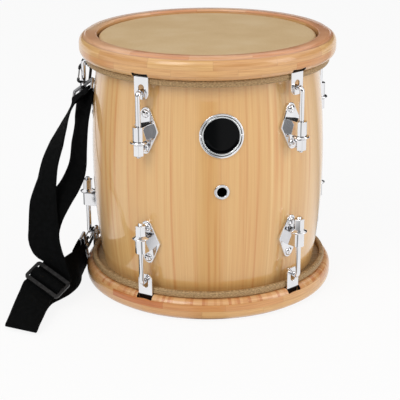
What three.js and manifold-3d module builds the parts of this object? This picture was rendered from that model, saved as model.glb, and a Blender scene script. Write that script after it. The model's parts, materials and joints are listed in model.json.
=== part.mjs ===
// A tambora: a short barrel drum with a rawhide head at each end.
// Rods between lugs and wooden hoops tune the heads.
// Millimetres, +Z up. The origin is the centre of the lower head's outer face and the badge faces -Y.
import * as THREE from "three";
import { mergeVertices } from "three/addons/utils/BufferGeometryUtils.js";
import Module from "manifold-3d";

const wasm = await Module();
wasm.setup();

// Gaps and cuts
const clearance = 0.3; // between pieces that touch
const overrun = 2; // how far a cutter passes the face that it cuts

// Drum
const headSpacing = 327; // between the outer faces of the two heads
const drumSides = 40; // sides of every large round piece
const lugAzimuths = [-36, 36, 108, 180, -108]; // degrees from the badge, counted towards +X

// Shell
const shellMidRadius = 152.3;
const shellEndRadius = 137.7;
const shellWall = 9;
const bearingEdgeRound = 3;
const bearingEdgeBevel = 4;
const shellSteps = 6; // straight stretches in the barrel's curve

// Heads and flesh hoops
const skinThickness = 1.2;
const fleshHoopRadius = 155.5; // outside of the ring itself
const fleshHoopWidth = 3.2;
const fleshHoopHeight = 5.5;
const wrapChamfer = 1.2;
const tuckOpening = 2; // left between the tucked end of the skin and the head above it

// Wooden hoops
const hoopRadius = 165;
const hoopBoreRadius = 142;
const hoopHeight = 28;
const hoopLip = 4; // how far the hoop stands past the head
const hoopCrownRound = 2.5; // the inner edge of the crown
const hoopCrownWidth = 14; // the flat ring that the drum stands on
const hoopCrownStep = 2.5; // down to where the outer rounding starts
const hoopCrownStepWidth = 2;
const hoopShoulderWidth = 7;
const hoopShoulderHeight = 9.5;
const hoopFlankHeight = 6;
const hoopFootWidth = 8; // the rounding towards the shell
const hoopFlareWidth = 4;
const hoopFlareHeight = 11;
const arcSteps = 3;

// Claw plates
const clawWidth = 20;
const clawThickness = 2.6;
const clawGap = 0.5; // from the wrapped flesh hoop
const clawDrop = 27; // below the hoop
const clawRise = 12.4; // into the hoop
const clawFoot = 9;
const clawCorner = 8;
const clawHoleRadius = 4;
const clawHoleDrop = 17; // from the hoop to the hole's outer end centre
const clawHoleLength = 4.5; // between the centres of the hole's two round ends

// Tension hooks
const rodRadius = 3.2;
const rodCircleRadius = 168;
const rodSides = 8;
const hookBendRadius = 4.5; // from the rod to the crossing
const hookTipBendRadius = 4; // from the crossing to the tip
const hookBendSteps = 4;
const hookTipGap = 0.5; // from the plate's inner face to where the tip's bend starts
const hookTipLength = 3;
const rodEndPastNut = 3;

// Lugs
const lugHeight = 72; // from the middle of the drum to the lug's middle
const lugHalfWidth = 18;
const lugEarRadius = 7;
const lugEarOffset = 22;
const lugPlateThickness = 3.5;
const lugPlateBevel = 1;
const lugArmHeight = 18;
const lugSleeveRadius = 7;
const lugSleeveSides = 12;
const rodPlay = 0.4; // between the rod and the sleeve or the nut around it
const lugScrewOffset = 20;
const lugScrewRadius = 2.5;
const lugScrewSides = 6;
const lugWasherRadius = 5.5;
const lugWasherThickness = 1.5;
const lugScrewHeadRadius = 4.2;
const lugScrewHeadHeight = 3.4;
const lugWasherSeat = 1.2; // past the nominal wall, to clear its curve

// Tuning nuts
const nutFlangeRadius = 10.7;
const nutFlangeHeight = 3;
const nutFlangeRim = 1.2;
const nutHexRadius = 6.9;
const nutHexHeight = 15;
const nutSides = 6;
const nutFlangeSides = 14;

// Vent grommet
const ventRadius = 6;
const ventTubeWall = 0.8;
const ventFlangeRadius = 9.5;
const ventFlangeThickness = 1.5;
const ventTubePastWall = 1.5; // inside the shell
const ventSides = 20;

// Badge
const badgeRadius = 27.25;
const badgeThickness = 2;
const badgeHeight = 69.9; // above the middle of the drum
const badgeSides = 40;
const badgePinRadius = 1;
const badgePinHeadRadius = 1.9;
const badgePinHeadHeight = 1;
const badgePinLength = 7;
const badgePinInset = 2.6; // from the badge's rim to the pin's axis
const badgePinSides = 8;

// Snap hooks
const snapBar = 4; // the bar's thickness
const snapDepth = 4;
const snapPitch = 15; // between the middles of the spine and the gate
const snapReach = 9.6; // from the rod's crossing to the gate
const snapTop = 13; // above the crossing
const snapBase = 15; // below the crossing
const snapNose = 3; // the nose tip's height above the crossing
const snapCorner = 3;
const snapHinge = 12; // the gate's hinge below the crossing
const snapEar = 9.5; // the hinge ear's end below the crossing
const snapSides = 8;
const snapStemRadius = 2;
const snapStemHeadRadius = 3.4;
const snapStemHeadHeight = 2;
const gateWireRadius = 0.9;
const gateWireSides = 6;
const gateHingeGap = 0.8; // between the two ends of the wire inside the ear
const gateNeckShare = 0.7; // of the gate's height, where its legs start to meet

// Strap rings
const ringInnerWidth = 47;
const ringInnerHeight = 8;
const ringBar = 3.5;
const ringTopBar = 5;
const ringCorner = 3;
const ringBossRadius = 4.5;
const ringBossSides = 12;

// Where the snap hooks sit on the strap's tension hooks. Turns are in degrees.
const snapPlaces = {
  upper: { turn: 15.3, swing: -7.8, lean: -40.3, along: -0.5, inward: 3.7, height: 268.1, eyeTurn: 26 },
  lower: { turn: 97.8, swing: -65.6, lean: 13.4, along: 5.6, inward: 3.8, height: 36.3, eyeTurn: 88.7 },
};

// Slider buckle
const sliderWidth = 54;
const sliderLength = 30;
const sliderThickness = 3;
const sliderBar = 5;
const sliderMiddleBar = 5;
const sliderSideBar = 3.8;
const sliderCorner = 5;
const sliderPlace = [-216.6, -89.9, 32];
const sliderAcross = [0.751, -0.501, -0.43];
const sliderUp = [0.657, 0.631, 0.412];

// Strap
const strapWidth = 45;
const strapThickness = 1.6;
const strapLoopSteps = 6;
const strapSewnLength = 21; // of the end that is turned back round the lower ring
const strapLeads = { lower: 12, upperIn: 8, upperOut: 22 }; // straight webbing beside each ring

// The webbing's middle line, then the direction of its width: from the lower ring behind the slider,
// round the fold on the floor and up to the slider.
const tailRun = [
  [-177.4, -8.5, 19.5, 0.18, 0.29, -0.94],
  [-183.5, -23.9, 18, 0.39, 0.12, -0.91],
  [-192.2, -40.1, 16.4, 0.55, -0.06, -0.83],
  [-204.3, -59, 15.2, 0.65, -0.23, -0.73],
  [-217.1, -75.7, 15, 0.7, -0.38, -0.61],
  [-228.7, -90.6, 13.5, 0.76, -0.49, -0.43],
  [-236.6, -107.9, 9.5, 0.82, -0.51, -0.25],
  [-241.6, -127.4, 5, 0.85, -0.52, -0.1],
  [-246.2, -147.1, 1.5, 0.85, -0.52, 0],
  [-248.7, -157.9, -0.8, 0.85, -0.52, 0],
  [-250, -163.3, -0.4, 0.85, -0.52, 0],
  [-250, -164.3, 2, 0.85, -0.52, 0],
  [-248.4, -160.9, 4.6, 0.85, -0.52, 0],
  [-244.9, -149.2, 8, 0.85, -0.52, -0.02],
  [-239.7, -132.7, 13.5, 0.85, -0.52, -0.1],
  [-233.4, -116.2, 20, 0.82, -0.52, -0.25],
];
// From the slider up to the upper ring, on the outer side.
const upwardRun = [
  [-208.2, -80.2, 48, 0.83, -0.49, -0.25],
  [-214, -76.5, 60, 0.89, -0.46, 0],
  [-219, -70, 76, 0.9, -0.43, 0.1],
  [-219, -58.7, 95, 0.87, -0.49, 0.03],
  [-218.5, -39, 118, 0.78, -0.62, 0.03],
  [-213.3, -19.5, 141, 0.54, -0.84, 0.06],
  [-208.2, -7.2, 163, 0.45, -0.89, 0.06],
  [-198.7, 2, 186, 0.37, -0.92, 0.12],
  [-190.8, 8.2, 204, 0.25, -0.93, 0.25],
  [-184.6, 13.5, 219, 0.25, -0.8, 0.52],
  [-174.7, 21.4, 232, 0.34, -0.71, 0.61],
];
// From the upper ring back down to the slider, nearer the drum.
const returnRun = [
  [-165.3, 12.5, 209, 0.39, -0.87, 0.31],
  [-169.4, 4.8, 183, 0.43, -0.9, 0.1],
  [-173, -7.6, 156, 0.48, -0.88, 0.05],
  [-184, -24.3, 136, 0.6, -0.79, 0.1],
  [-202.5, -41.5, 117, 0.78, -0.62, 0.03],
  [-216.5, -51.1, 95, 0.87, -0.49, 0],
  [-220, -61.5, 74, 0.89, -0.45, 0.05],
  [-212.5, -69.6, 57, 0.88, -0.47, -0.1],
];
// Through the slider, as distances up its length and out of its front.
const weaveOver = [
  [-20, -1.8],
  [-15.5, -2.9],
  [-10, -2.9],
  [-8.2, -2.2],
  [-5.6, 3.6],
  [-3.8, 4.7],
  [3, 4.7],
  [4.2, 3.6],
  [8, -2.6],
  [10, -2.9],
  [15.5, -2.9],
  [17.6, -1.6],
  [18.4, 2],
];
const weaveUnder = [
  [21, -1],
  [15.5, -5.2],
  [9, -5.4],
  [3.8, -3.2],
  [2.5, -2.6],
  [-2.5, -2.6],
  [-3.6, -1.5],
  [-3.6, 1.5],
  [-2.5, 2.6],
  [2, 2.6],
];

// Worked out from the sizes above
const halfSpacing = headSpacing / 2;
const shellHalfLength = halfSpacing - skinThickness - clearance;
const hoopUnderside = halfSpacing + hoopLip - hoopHeight;
const wrapThickness = skinThickness + clearance;
const wrapTop = hoopUnderside - clearance;
const wrapBottom = wrapTop - fleshHoopHeight - 2 * wrapThickness;
const wrapRadius = fleshHoopRadius + wrapThickness;
const wrapInnerRadius = fleshHoopRadius - fleshHoopWidth - wrapThickness;
const clawInnerRadius = wrapRadius + clawGap;
const clawHoleHeight = hoopUnderside - clawHoleDrop;
const rodSaddleHeight = clawHoleHeight - clawHoleRadius + rodRadius + clearance;
const sleeveFaceHeight = lugHeight - lugArmHeight / 2;
const nutTop = sleeveFaceHeight - clearance;
const nutHeight = nutFlangeHeight + nutHexHeight;
const rodEndHeight = nutTop - nutHeight - rodEndPastNut;

// Colours as the drum shows them
const finishes = {
  shell: new THREE.MeshStandardMaterial({ color: 0xe0b784, roughness: 0.25, metalness: 0 }),
  hoop: new THREE.MeshStandardMaterial({ color: 0xd69e64, roughness: 0.3, metalness: 0 }),
  rawhide: new THREE.MeshStandardMaterial({ color: 0xc4a476, roughness: 0.6, metalness: 0 }),
  steel: new THREE.MeshStandardMaterial({ color: 0x9a9a98, roughness: 0.4, metalness: 1 }),
  chrome: new THREE.MeshStandardMaterial({ color: 0xdcdcde, roughness: 0.12, metalness: 1 }),
  badge: new THREE.MeshStandardMaterial({ color: 0x111111, roughness: 0.3, metalness: 0.2 }),
  blackMetal: new THREE.MeshStandardMaterial({ color: 0x0c0c0c, roughness: 0.35, metalness: 0.6 }),
  webbing: new THREE.MeshStandardMaterial({ color: 0x0a0b0b, roughness: 0.9, metalness: 0 }),
  slider: new THREE.MeshStandardMaterial({ color: 0x2c2b2b, roughness: 0.45, metalness: 0 }),
};

// A closed three.js geometry as a solid that can be joined and cut.
function solid(geometry) {
  const bare = geometry.clone();
  bare.deleteAttribute("normal");
  bare.deleteAttribute("uv");
  const merged = mergeVertices(bare);
  return new wasm.Manifold(
    new wasm.Mesh({
      numProp: 3,
      vertProperties: new Float32Array(merged.attributes.position.array),
      triVerts: new Uint32Array(merged.index.array),
    }),
  );
}

// A solid as a three.js geometry again.
function geometryOf(made) {
  const mesh = made.getMesh();
  return new THREE.BufferGeometry()
    .setAttribute("position", new THREE.BufferAttribute(mesh.vertProperties, 3))
    .setIndex(new THREE.BufferAttribute(mesh.triVerts, 1));
}

function namedMesh(name, geometry, material) {
  const mesh = new THREE.Mesh(geometry, material);
  mesh.name = name;
  return mesh;
}

const point = (radius, height) => new THREE.Vector2(radius, height);

// Points of an elliptical arc from one angle to another, in degrees.
function oblongArc(centreRadius, centreHeight, across, up, from, to, steps = arcSteps) {
  return Array.from({ length: steps + 1 }, (_, i) => {
    const angle = THREE.MathUtils.degToRad(from + ((to - from) * i) / steps);
    return point(centreRadius + across * Math.cos(angle), centreHeight + up * Math.sin(angle));
  });
}

function arc(centreRadius, centreHeight, radius, from, to, steps = arcSteps) {
  return oblongArc(centreRadius, centreHeight, radius, radius, from, to, steps);
}

// A profile of (radius, height) points turned about the Z axis, its outside going up.
function turned(profile, sides = drumSides) {
  return new THREE.LatheGeometry(profile, sides).rotateX(Math.PI / 2);
}

// The same for a profile that closes on itself.
function turnedRing(profile, sides = drumSides) {
  return turned([...profile, profile[0]], sides);
}

// A cylinder along Z from one height to another.
function post(radius, from, to, sides) {
  return turned([point(0, from), point(radius, from), point(radius, to), point(0, to)], sides);
}

// A cylinder along Y, from one distance in front of the axis to another.
function crossPost(radius, near, far, sides) {
  return post(radius, near, far, sides).rotateX(-Math.PI / 2);
}

function block(width, depth, height, x, y, z) {
  return new THREE.BoxGeometry(width, depth, height).translate(x, y, z);
}

// The barrel's outer radius at a height from the middle of the drum.
function barrelRadius(height) {
  const share = height / shellHalfLength;
  return shellMidRadius - (shellMidRadius - shellEndRadius) * share * share;
}

// The barrel's outer line between the rounded bearing edges, moved out by a distance.
function barrelLine(outwards) {
  const reach = shellHalfLength - bearingEdgeRound;
  return Array.from({ length: shellSteps + 1 }, (_, i) => {
    const height = reach * ((2 * i) / shellSteps - 1);
    return point(barrelRadius(height) + outwards, height);
  });
}

// A solid barrel of that line, for pieces that follow the shell.
function barrel(outwards) {
  const line = barrelLine(outwards);
  return solid(turned([point(0, line[0].y), ...line, point(0, line.at(-1).y)]));
}

// A place on the drum: turned to an azimuth, with -Y pointing outwards.
function atAzimuth(degrees) {
  const group = new THREE.Group();
  group.rotation.z = THREE.MathUtils.degToRad(degrees);
  return group;
}

// The lug's own plane: on the shell, leaning with it, with -Y out and Z up the shell.
function onShell(geometry, height) {
  const reach = lugEarOffset + lugEarRadius;
  const lean = Math.atan2(barrelRadius(height - reach) - barrelRadius(height + reach), 2 * reach);
  return geometry.rotateX(-lean).translate(0, -barrelRadius(height), height);
}

function lugScrewHoles() {
  const radius = lugScrewRadius + clearance;
  return [-1, 1].map((side) =>
    solid(
      onShell(
        crossPost(radius, -overrun, shellWall + overrun, lugScrewSides)
          .translate(0, 0, side * lugScrewOffset),
        lugHeight,
      ),
    ),
  );
}

// Turns a solid made for the upper half to its place at an azimuth, in either half.
function placed(made, azimuth, lower) {
  const half = lower ? made.rotate([0, 180, 0]) : made;
  return half.rotate([0, 0, azimuth]);
}

function shell() {
  const outer = barrelLine(0);
  const inner = barrelLine(-shellWall).reverse();
  const edge = outer.at(-1);
  const crest = edge.x - bearingEdgeRound;
  const innerRadius = inner[0].x;
  const bevelEnd = shellHalfLength - bearingEdgeBevel;
  const profile = [
    ...arc(crest, -edge.y, bearingEdgeRound, -90, 0, 2).slice(0, -1),
    ...outer,
    ...arc(crest, edge.y, bearingEdgeRound, 0, 90, 2).slice(1),
    point(innerRadius, bevelEnd),
    ...inner.slice(1, -1),
    point(innerRadius, -bevelEnd),
  ];
  let made = solid(turnedRing(profile));
  const ventBore = ventRadius + ventTubeWall + clearance;
  const ventReach = shellMidRadius + overrun;
  const ventDepth = shellWall + 2 * overrun;
  made = made.subtract(solid(crossPost(ventBore, -ventReach, ventDepth - ventReach, ventSides)));
  for (const side of [-1, 1]) {
    made = made.subtract(badgePinHole(side));
  }
  for (const azimuth of lugAzimuths) {
    for (const hole of lugScrewHoles()) {
      made = made.subtract(placed(hole, azimuth, false)).subtract(placed(hole, azimuth, true));
    }
  }
  return namedMesh("shell", geometryOf(made), finishes.shell);
}

// The skin over the bearing edge, down the shell, out under the hoop and round the flesh hoop.
function head(name) {
  const edge = barrelRadius(shellHalfLength - bearingEdgeRound);
  const edgeHeight = shellHalfLength - bearingEdgeRound;
  const flat = edge - bearingEdgeRound;
  const skirt = barrelRadius(wrapTop) + clearance;
  const outerRound = bearingEdgeRound + wrapThickness;
  const innerRound = bearingEdgeRound + clearance;
  const tuckEnd = wrapTop - skinThickness - tuckOpening;
  const profile = [
    point(0, halfSpacing - skinThickness),
    ...arc(flat, edgeHeight, innerRound, 90, 0, 2),
    point(skirt, wrapTop - skinThickness),
    point(wrapRadius - skinThickness, wrapTop - skinThickness),
    point(wrapRadius - skinThickness, wrapBottom + skinThickness),
    point(wrapInnerRadius + skinThickness, wrapBottom + skinThickness),
    point(wrapInnerRadius + skinThickness, tuckEnd),
    point(wrapInnerRadius, tuckEnd),
    point(wrapInnerRadius, wrapBottom),
    point(wrapRadius - wrapChamfer, wrapBottom),
    point(wrapRadius, wrapBottom + wrapChamfer),
    point(wrapRadius, wrapTop - wrapChamfer),
    point(wrapRadius - wrapChamfer, wrapTop),
    point(skirt + skinThickness, wrapTop),
    ...arc(flat, edgeHeight, outerRound, 0, 90, 2),
    point(0, halfSpacing),
  ];
  return namedMesh(name, turned(profile), finishes.rawhide);
}

function fleshHoop(name) {
  const inner = fleshHoopRadius - fleshHoopWidth;
  const low = wrapBottom + wrapThickness;
  const high = wrapTop - wrapThickness;
  const profile = [
    point(inner, low),
    point(fleshHoopRadius, low),
    point(fleshHoopRadius, high),
    point(inner, high),
  ];
  return namedMesh(name, turnedRing(profile), finishes.steel);
}

function hoopProfile() {
  const top = hoopUnderside + hoopHeight;
  const crownEdge = hoopBoreRadius + hoopCrownWidth;
  const stepEdge = crownEdge + hoopCrownStepWidth;
  const shoulder = top - hoopCrownStep - hoopShoulderHeight;
  const flank = shoulder - hoopFlankHeight;
  const footRadius = hoopRadius - hoopFootWidth;
  return [
    point(hoopBoreRadius + hoopFlareWidth, hoopUnderside),
    ...oblongArc(footRadius, flank, hoopFootWidth, flank - hoopUnderside, -90, 0),
    ...oblongArc(stepEdge, shoulder, hoopShoulderWidth, hoopShoulderHeight, 0, 90),
    point(crownEdge, top),
    ...arc(hoopBoreRadius + hoopCrownRound, top - hoopCrownRound, hoopCrownRound, 90, 180, 2),
    point(hoopBoreRadius, hoopUnderside + hoopFlareHeight),
  ];
}

// The L-shaped pocket that holds a claw plate's top and foot, at azimuth 0.
function clawPocket() {
  const width = clawWidth + 2 * clearance;
  const ceiling = hoopUnderside + clawRise + clearance;
  const slotThickness = clawThickness + 2 * clearance;
  const slotMiddle = clawInnerRadius + clawThickness / 2;
  const slotHeight = ceiling - hoopUnderside + overrun;
  const footThickness = clawThickness + 2 * clearance;
  const footLength = clawFoot + clawThickness + 2 * clearance;
  const footMiddle = clawInnerRadius + clawThickness + clearance - footLength / 2;
  return solid(block(width, slotThickness, slotHeight, 0, -slotMiddle, ceiling - slotHeight / 2)).add(
    solid(block(width, footLength, footThickness, 0, -footMiddle, ceiling - footThickness / 2)),
  );
}

function woodenHoop(name, azimuths) {
  let made = solid(turnedRing(hoopProfile()));
  for (const azimuth of azimuths) {
    made = made.subtract(placed(clawPocket(), azimuth, false));
  }
  return namedMesh(name, geometryOf(made), finishes.hoop);
}

// A plate that hangs from the hoop, with a long hole for the tension hook.
function clawGeometry() {
  const half = clawWidth / 2;
  const low = hoopUnderside - clawDrop;
  const high = hoopUnderside + clawRise;
  const outline = new THREE.Shape();
  outline.moveTo(-half, high);
  outline.lineTo(-half, low + clawCorner);
  outline.absarc(clawCorner - half, low + clawCorner, clawCorner, Math.PI, 1.5 * Math.PI, false);
  outline.absarc(half - clawCorner, low + clawCorner, clawCorner, 1.5 * Math.PI, 2 * Math.PI, false);
  outline.lineTo(half, high);
  const hole = new THREE.Path();
  hole.absarc(0, clawHoleHeight, clawHoleRadius, Math.PI, 2 * Math.PI, false);
  hole.absarc(0, clawHoleHeight + clawHoleLength, clawHoleRadius, 0, Math.PI, false);
  outline.holes.push(hole);
  const plate = new THREE.ExtrudeGeometry(outline, {
    depth: clawThickness,
    bevelEnabled: false,
    curveSegments: 3,
  });
  plate.rotateX(Math.PI / 2).translate(0, -clawInnerRadius, 0);
  const foot = block(
    clawWidth,
    clawFoot + clawThickness / 2,
    clawThickness,
    0,
    -clawInnerRadius - clawThickness / 2 + (clawFoot + clawThickness / 2) / 2,
    high - clawThickness / 2,
  );
  return geometryOf(solid(plate).add(solid(foot)));
}

// A line through given points whose section keeps given width directions.
class Route extends THREE.Curve {
  constructor(points, widths) {
    super();
    this.points = points;
    this.widths = widths;
  }

  getSpacedPoints() {
    return this.points;
  }

  computeFrenetFrames() {
    const last = this.points.length - 1;
    const tangents = this.points.map((_, i) => {
      const before = this.points[Math.max(i - 1, 0)];
      const after = this.points[Math.min(i + 1, last)];
      return new THREE.Vector3().subVectors(after, before).normalize();
    });
    const normals = this.widths.map((width) => width.clone().normalize());
    const binormals = tangents.map((tangent, i) =>
      new THREE.Vector3().crossVectors(tangent, normals[i]).normalize(),
    );
    return { tangents, normals, binormals };
  }
}

// A section swept along a route: x of the section lies along the route's width.
function swept(section, points, widths) {
  return new THREE.ExtrudeGeometry(new THREE.Shape(section), {
    steps: points.length - 1,
    bevelEnabled: false,
    extrudePath: new Route(points, widths),
  });
}

// An oval section with a number of sides.
function oval(width, thickness, sides) {
  return Array.from({ length: sides }, (_, i) => {
    const angle = (2 * Math.PI * (i + 0.5)) / sides;
    return point((width / 2) * Math.cos(angle), (thickness / 2) * Math.sin(angle));
  });
}

function rectangle(width, thickness) {
  const x = width / 2;
  const y = thickness / 2;
  return [point(-x, -y), point(x, -y), point(x, y), point(-x, y)];
}

// The rod comes up past the nut and the sleeve, over through the claw's hole and down behind it.
function tensionHookGeometry() {
  const bendCentre = rodCircleRadius - hookBendRadius;
  const tipCentre = clawInnerRadius - hookTipGap;
  const tipRadius = tipCentre - hookTipBendRadius;
  const line = [
    point(rodCircleRadius, rodEndHeight),
    ...arc(bendCentre, rodSaddleHeight - hookBendRadius, hookBendRadius, 0, 90, hookBendSteps),
    ...arc(tipCentre, rodSaddleHeight - hookTipBendRadius, hookTipBendRadius, 90, 180, hookBendSteps),
    point(tipRadius, rodSaddleHeight - hookTipBendRadius - hookTipLength),
  ];
  const points = line.map((p) => new THREE.Vector3(0, -p.x, p.y));
  const widths = points.map(() => new THREE.Vector3(1, 0, 0));
  return swept(oval(2 * rodRadius, 2 * rodRadius, rodSides), points, widths);
}

// A hexagonal nut with a wide flange that bears on the lug's sleeve.
function tuningNutGeometry() {
  const flangeFoot = nutTop - nutFlangeHeight;
  const flange = turned(
    [
      point(0, flangeFoot - nutFlangeRim),
      point(nutHexRadius, flangeFoot - nutFlangeRim),
      point(nutFlangeRadius, nutTop - nutFlangeHeight / 2),
      point(nutFlangeRadius, nutTop),
      point(0, nutTop),
    ],
    nutFlangeSides,
  );
  const hex = post(nutHexRadius, nutTop - nutHeight, nutTop - nutFlangeHeight / 2, nutSides);
  const bore = post(rodRadius + rodPlay, nutTop - nutHeight - overrun, nutTop + overrun, rodSides);
  const made = solid(flange).add(solid(hex)).subtract(solid(bore));
  return geometryOf(made).translate(0, -rodCircleRadius, 0);
}

// A pointed plate with an arm and a sleeve for the rod. Its two screws hold it from inside the shell.
function lugGeometry() {
  const reach = Math.hypot(lugHalfWidth, lugEarOffset);
  const tangent = Math.acos(lugEarRadius / reach) - Math.atan2(lugEarOffset, lugHalfWidth);
  const outline = new THREE.Shape();
  outline.moveTo(lugHalfWidth, 0);
  outline.absarc(0, lugEarOffset, lugEarRadius, tangent, Math.PI - tangent, false);
  outline.lineTo(-lugHalfWidth, 0);
  outline.absarc(0, -lugEarOffset, lugEarRadius, Math.PI + tangent, 2 * Math.PI - tangent, false);
  outline.lineTo(lugHalfWidth, 0);
  const plate = new THREE.ExtrudeGeometry(outline, {
    depth: 2 * lugPlateThickness - lugPlateBevel,
    bevelThickness: lugPlateBevel,
    bevelSize: lugPlateBevel,
    bevelOffset: -lugPlateBevel,
    bevelSegments: 1,
    curveSegments: 3,
  });
  plate.rotateX(Math.PI / 2).translate(0, lugPlateThickness, 0);
  const armRoot = barrelRadius(lugHeight) - lugPlateThickness;
  const armLength = rodCircleRadius - armRoot;
  const armMiddle = armRoot + armLength / 2;
  const arm = block(2 * lugSleeveRadius, armLength, lugArmHeight, 0, -armMiddle, lugHeight);
  const low = lugHeight - lugArmHeight / 2;
  const high = lugHeight + lugArmHeight / 2;
  const sleeve = post(lugSleeveRadius, low, high, lugSleeveSides).translate(0, -rodCircleRadius, 0);
  const bore = post(rodRadius + rodPlay, low - overrun, high + overrun, rodSides);
  bore.translate(0, -rodCircleRadius, 0);
  let made = solid(onShell(plate, lugHeight)).add(solid(arm)).add(solid(sleeve));
  made = made.subtract(solid(bore)).subtract(barrel(clearance));
  for (const side of [-1, 1]) {
    made = made.add(lugScrew(side));
  }
  return geometryOf(made);
}

// One screw with its washer and head, from the lug's plate through the shell wall.
function lugScrew(side) {
  const height = side * lugScrewOffset;
  const washerFace = shellWall + lugWasherSeat;
  const headFace = washerFace + lugWasherThickness;
  const pieces = [
    crossPost(lugScrewRadius, -lugPlateThickness / 2, headFace, lugScrewSides),
    crossPost(lugWasherRadius, washerFace, headFace, lugScrewSides),
    crossPost(lugScrewHeadRadius, headFace - overrun / 2, headFace + lugScrewHeadHeight, nutSides),
  ];
  return pieces
    .map((piece) => solid(onShell(piece.translate(0, 0, height), lugHeight)))
    .reduce((all, piece) => all.add(piece));
}

// One end of the drum, made for the upper end. The lower end is the same, turned half round.
function drumEnd(end, turnSign) {
  const group = new THREE.Group();
  const azimuths = lugAzimuths.map((azimuth) => turnSign * azimuth);
  group.add(head(`${end}_head`), fleshHoop(`${end}_flesh_hoop`), woodenHoop(`${end}_hoop`, azimuths));
  azimuths.forEach((azimuth, i) => {
    const station = atAzimuth(azimuth);
    station.add(
      namedMesh(`${end}_claw_${i + 1}`, clawGeometry(), finishes.chrome),
      namedMesh(`${end}_tension_hook_${i + 1}`, tensionHookGeometry(), finishes.chrome),
      namedMesh(`${end}_tuning_nut_${i + 1}`, tuningNutGeometry(), finishes.chrome),
      namedMesh(`${end}_lug_${i + 1}`, lugGeometry(), finishes.chrome),
    );
    group.add(station);
  });
  return group;
}

// A flanged tube that lines the air hole.
function ventGrommet() {
  const seat = shellMidRadius + clearance;
  const tubeRadius = ventRadius + ventTubeWall;
  const tubeEnd = shellMidRadius - shellWall - ventTubePastWall;
  const profile = [
    point(ventRadius, tubeEnd),
    point(tubeRadius, tubeEnd),
    point(tubeRadius, seat),
    point(ventFlangeRadius, seat),
    point(ventFlangeRadius - ventTubeWall, seat + ventFlangeThickness),
    point(ventRadius, seat + ventFlangeThickness),
  ];
  const geometry = turnedRing(profile, ventSides).rotateX(Math.PI / 2);
  return namedMesh("vent_grommet", geometry, finishes.chrome);
}

// The place of a badge pin: its axis crosses the badge's rim, square to the shell there.
function pinPlace(geometry, side) {
  const offset = badgeRadius - badgePinInset;
  const surface = barrelRadius(badgeHeight);
  const turn = side * Math.asin(offset / surface);
  return geometry.translate(0, -surface, badgeHeight).rotateZ(turn);
}

function badgePinHole(side) {
  const radius = badgePinRadius + clearance;
  const hole = crossPost(radius, -overrun - badgeThickness, badgePinLength + overrun, badgePinSides);
  return solid(pinPlace(hole, side));
}

// A disc bent to the shell.
function badge() {
  const disc = crossPost(badgeRadius, -shellMidRadius - shellWall, 0, badgeSides);
  let made = solid(disc.translate(0, 0, badgeHeight));
  made = made.intersect(barrel(clearance + badgeThickness)).subtract(barrel(clearance));
  for (const side of [-1, 1]) {
    made = made.subtract(badgePinHole(side));
  }
  return namedMesh("badge", geometryOf(made), finishes.badge);
}

function badgePin(name, side) {
  const seat = badgeThickness + 2 * clearance;
  const top = seat + badgePinHeadHeight;
  const shank = crossPost(badgePinRadius, -top, badgePinLength, badgePinSides);
  const cap = crossPost(badgePinHeadRadius, -top, -seat, badgePinSides);
  const made = solid(shank).add(solid(cap));
  return namedMesh(name, pinPlace(geometryOf(made), side), finishes.chrome);
}

// The snap hook's bar: from the nose over the top, down the spine and along the base to the hinge's ear.
function snapHookGeometry() {
  const gateSide = -snapReach;
  const spine = gateSide + snapPitch;
  const middle = (gateSide + spine) / 2;
  const archRadius = snapPitch / 2;
  const low = snapCorner - snapBase;
  const line = [
    point(gateSide, snapNose),
    ...arc(middle, snapTop - archRadius, archRadius, 180, 0, snapSides),
    ...arc(spine - snapCorner, low, snapCorner, 0, -90, 2),
    ...arc(gateSide + snapCorner, low, snapCorner, -90, -180, 2),
    point(gateSide, -snapEar),
  ];
  const points = line.map((p) => new THREE.Vector3(0, p.x, p.y));
  const widths = points.map(() => new THREE.Vector3(1, 0, 0));
  const bar = solid(swept(oval(snapDepth, snapBar, snapSides), points, widths));
  const ringTop = -snapBase - snapBar / 2 - clearance;
  const headTop = ringTop - ringTopBar - clearance;
  const headFoot = headTop - snapStemHeadHeight;
  const stem = solid(post(snapStemRadius, headFoot, -snapBase, snapSides).translate(0, middle, 0));
  const cap = solid(post(snapStemHeadRadius, headFoot, headTop, snapSides).translate(0, middle, 0));
  const hole = post(gateWireRadius + clearance, -snapDepth, snapDepth, gateWireSides);
  hole.rotateY(Math.PI / 2).translate(0, gateSide, -snapHinge);
  return geometryOf(bar.add(stem).add(cap).subtract(solid(hole)));
}

// The gate is one bent wire. Its two ends turn in the hook's ear and its loop closes under the nose.
function snapGateGeometry() {
  const legs = snapDepth / 2 + clearance + gateWireRadius;
  const top = snapNose - clearance - gateWireRadius;
  const neck = gateNeckShare * (top + snapHinge) - snapHinge;
  const half = [
    point(gateHingeGap / 2, -snapHinge),
    point(legs - gateWireRadius, -snapHinge),
    point(legs, gateWireRadius - snapHinge),
    point(legs, neck),
    point(gateWireRadius, top - gateWireRadius / 2),
  ];
  const line = [...half, point(0, top), ...half.map((p) => point(-p.x, p.y)).reverse()];
  const points = line.map((p) => new THREE.Vector3(p.x, -snapReach, p.y));
  const widths = points.map(() => new THREE.Vector3(0, 1, 0));
  return swept(oval(2 * gateWireRadius, 2 * gateWireRadius, gateWireSides), points, widths);
}

// A rectangle with round corners, drawn into a shape or a hole.
function roundedRectangle(path, width, height, corner, middleHeight) {
  const x = width / 2 - corner;
  const y = height / 2 - corner;
  path.absarc(x, middleHeight + y, corner, 0, Math.PI / 2, false);
  path.absarc(-x, middleHeight + y, corner, Math.PI / 2, Math.PI, false);
  path.absarc(-x, middleHeight - y, corner, Math.PI, 1.5 * Math.PI, false);
  path.absarc(x, middleHeight - y, corner, 1.5 * Math.PI, 2 * Math.PI, false);
  return path;
}

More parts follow.
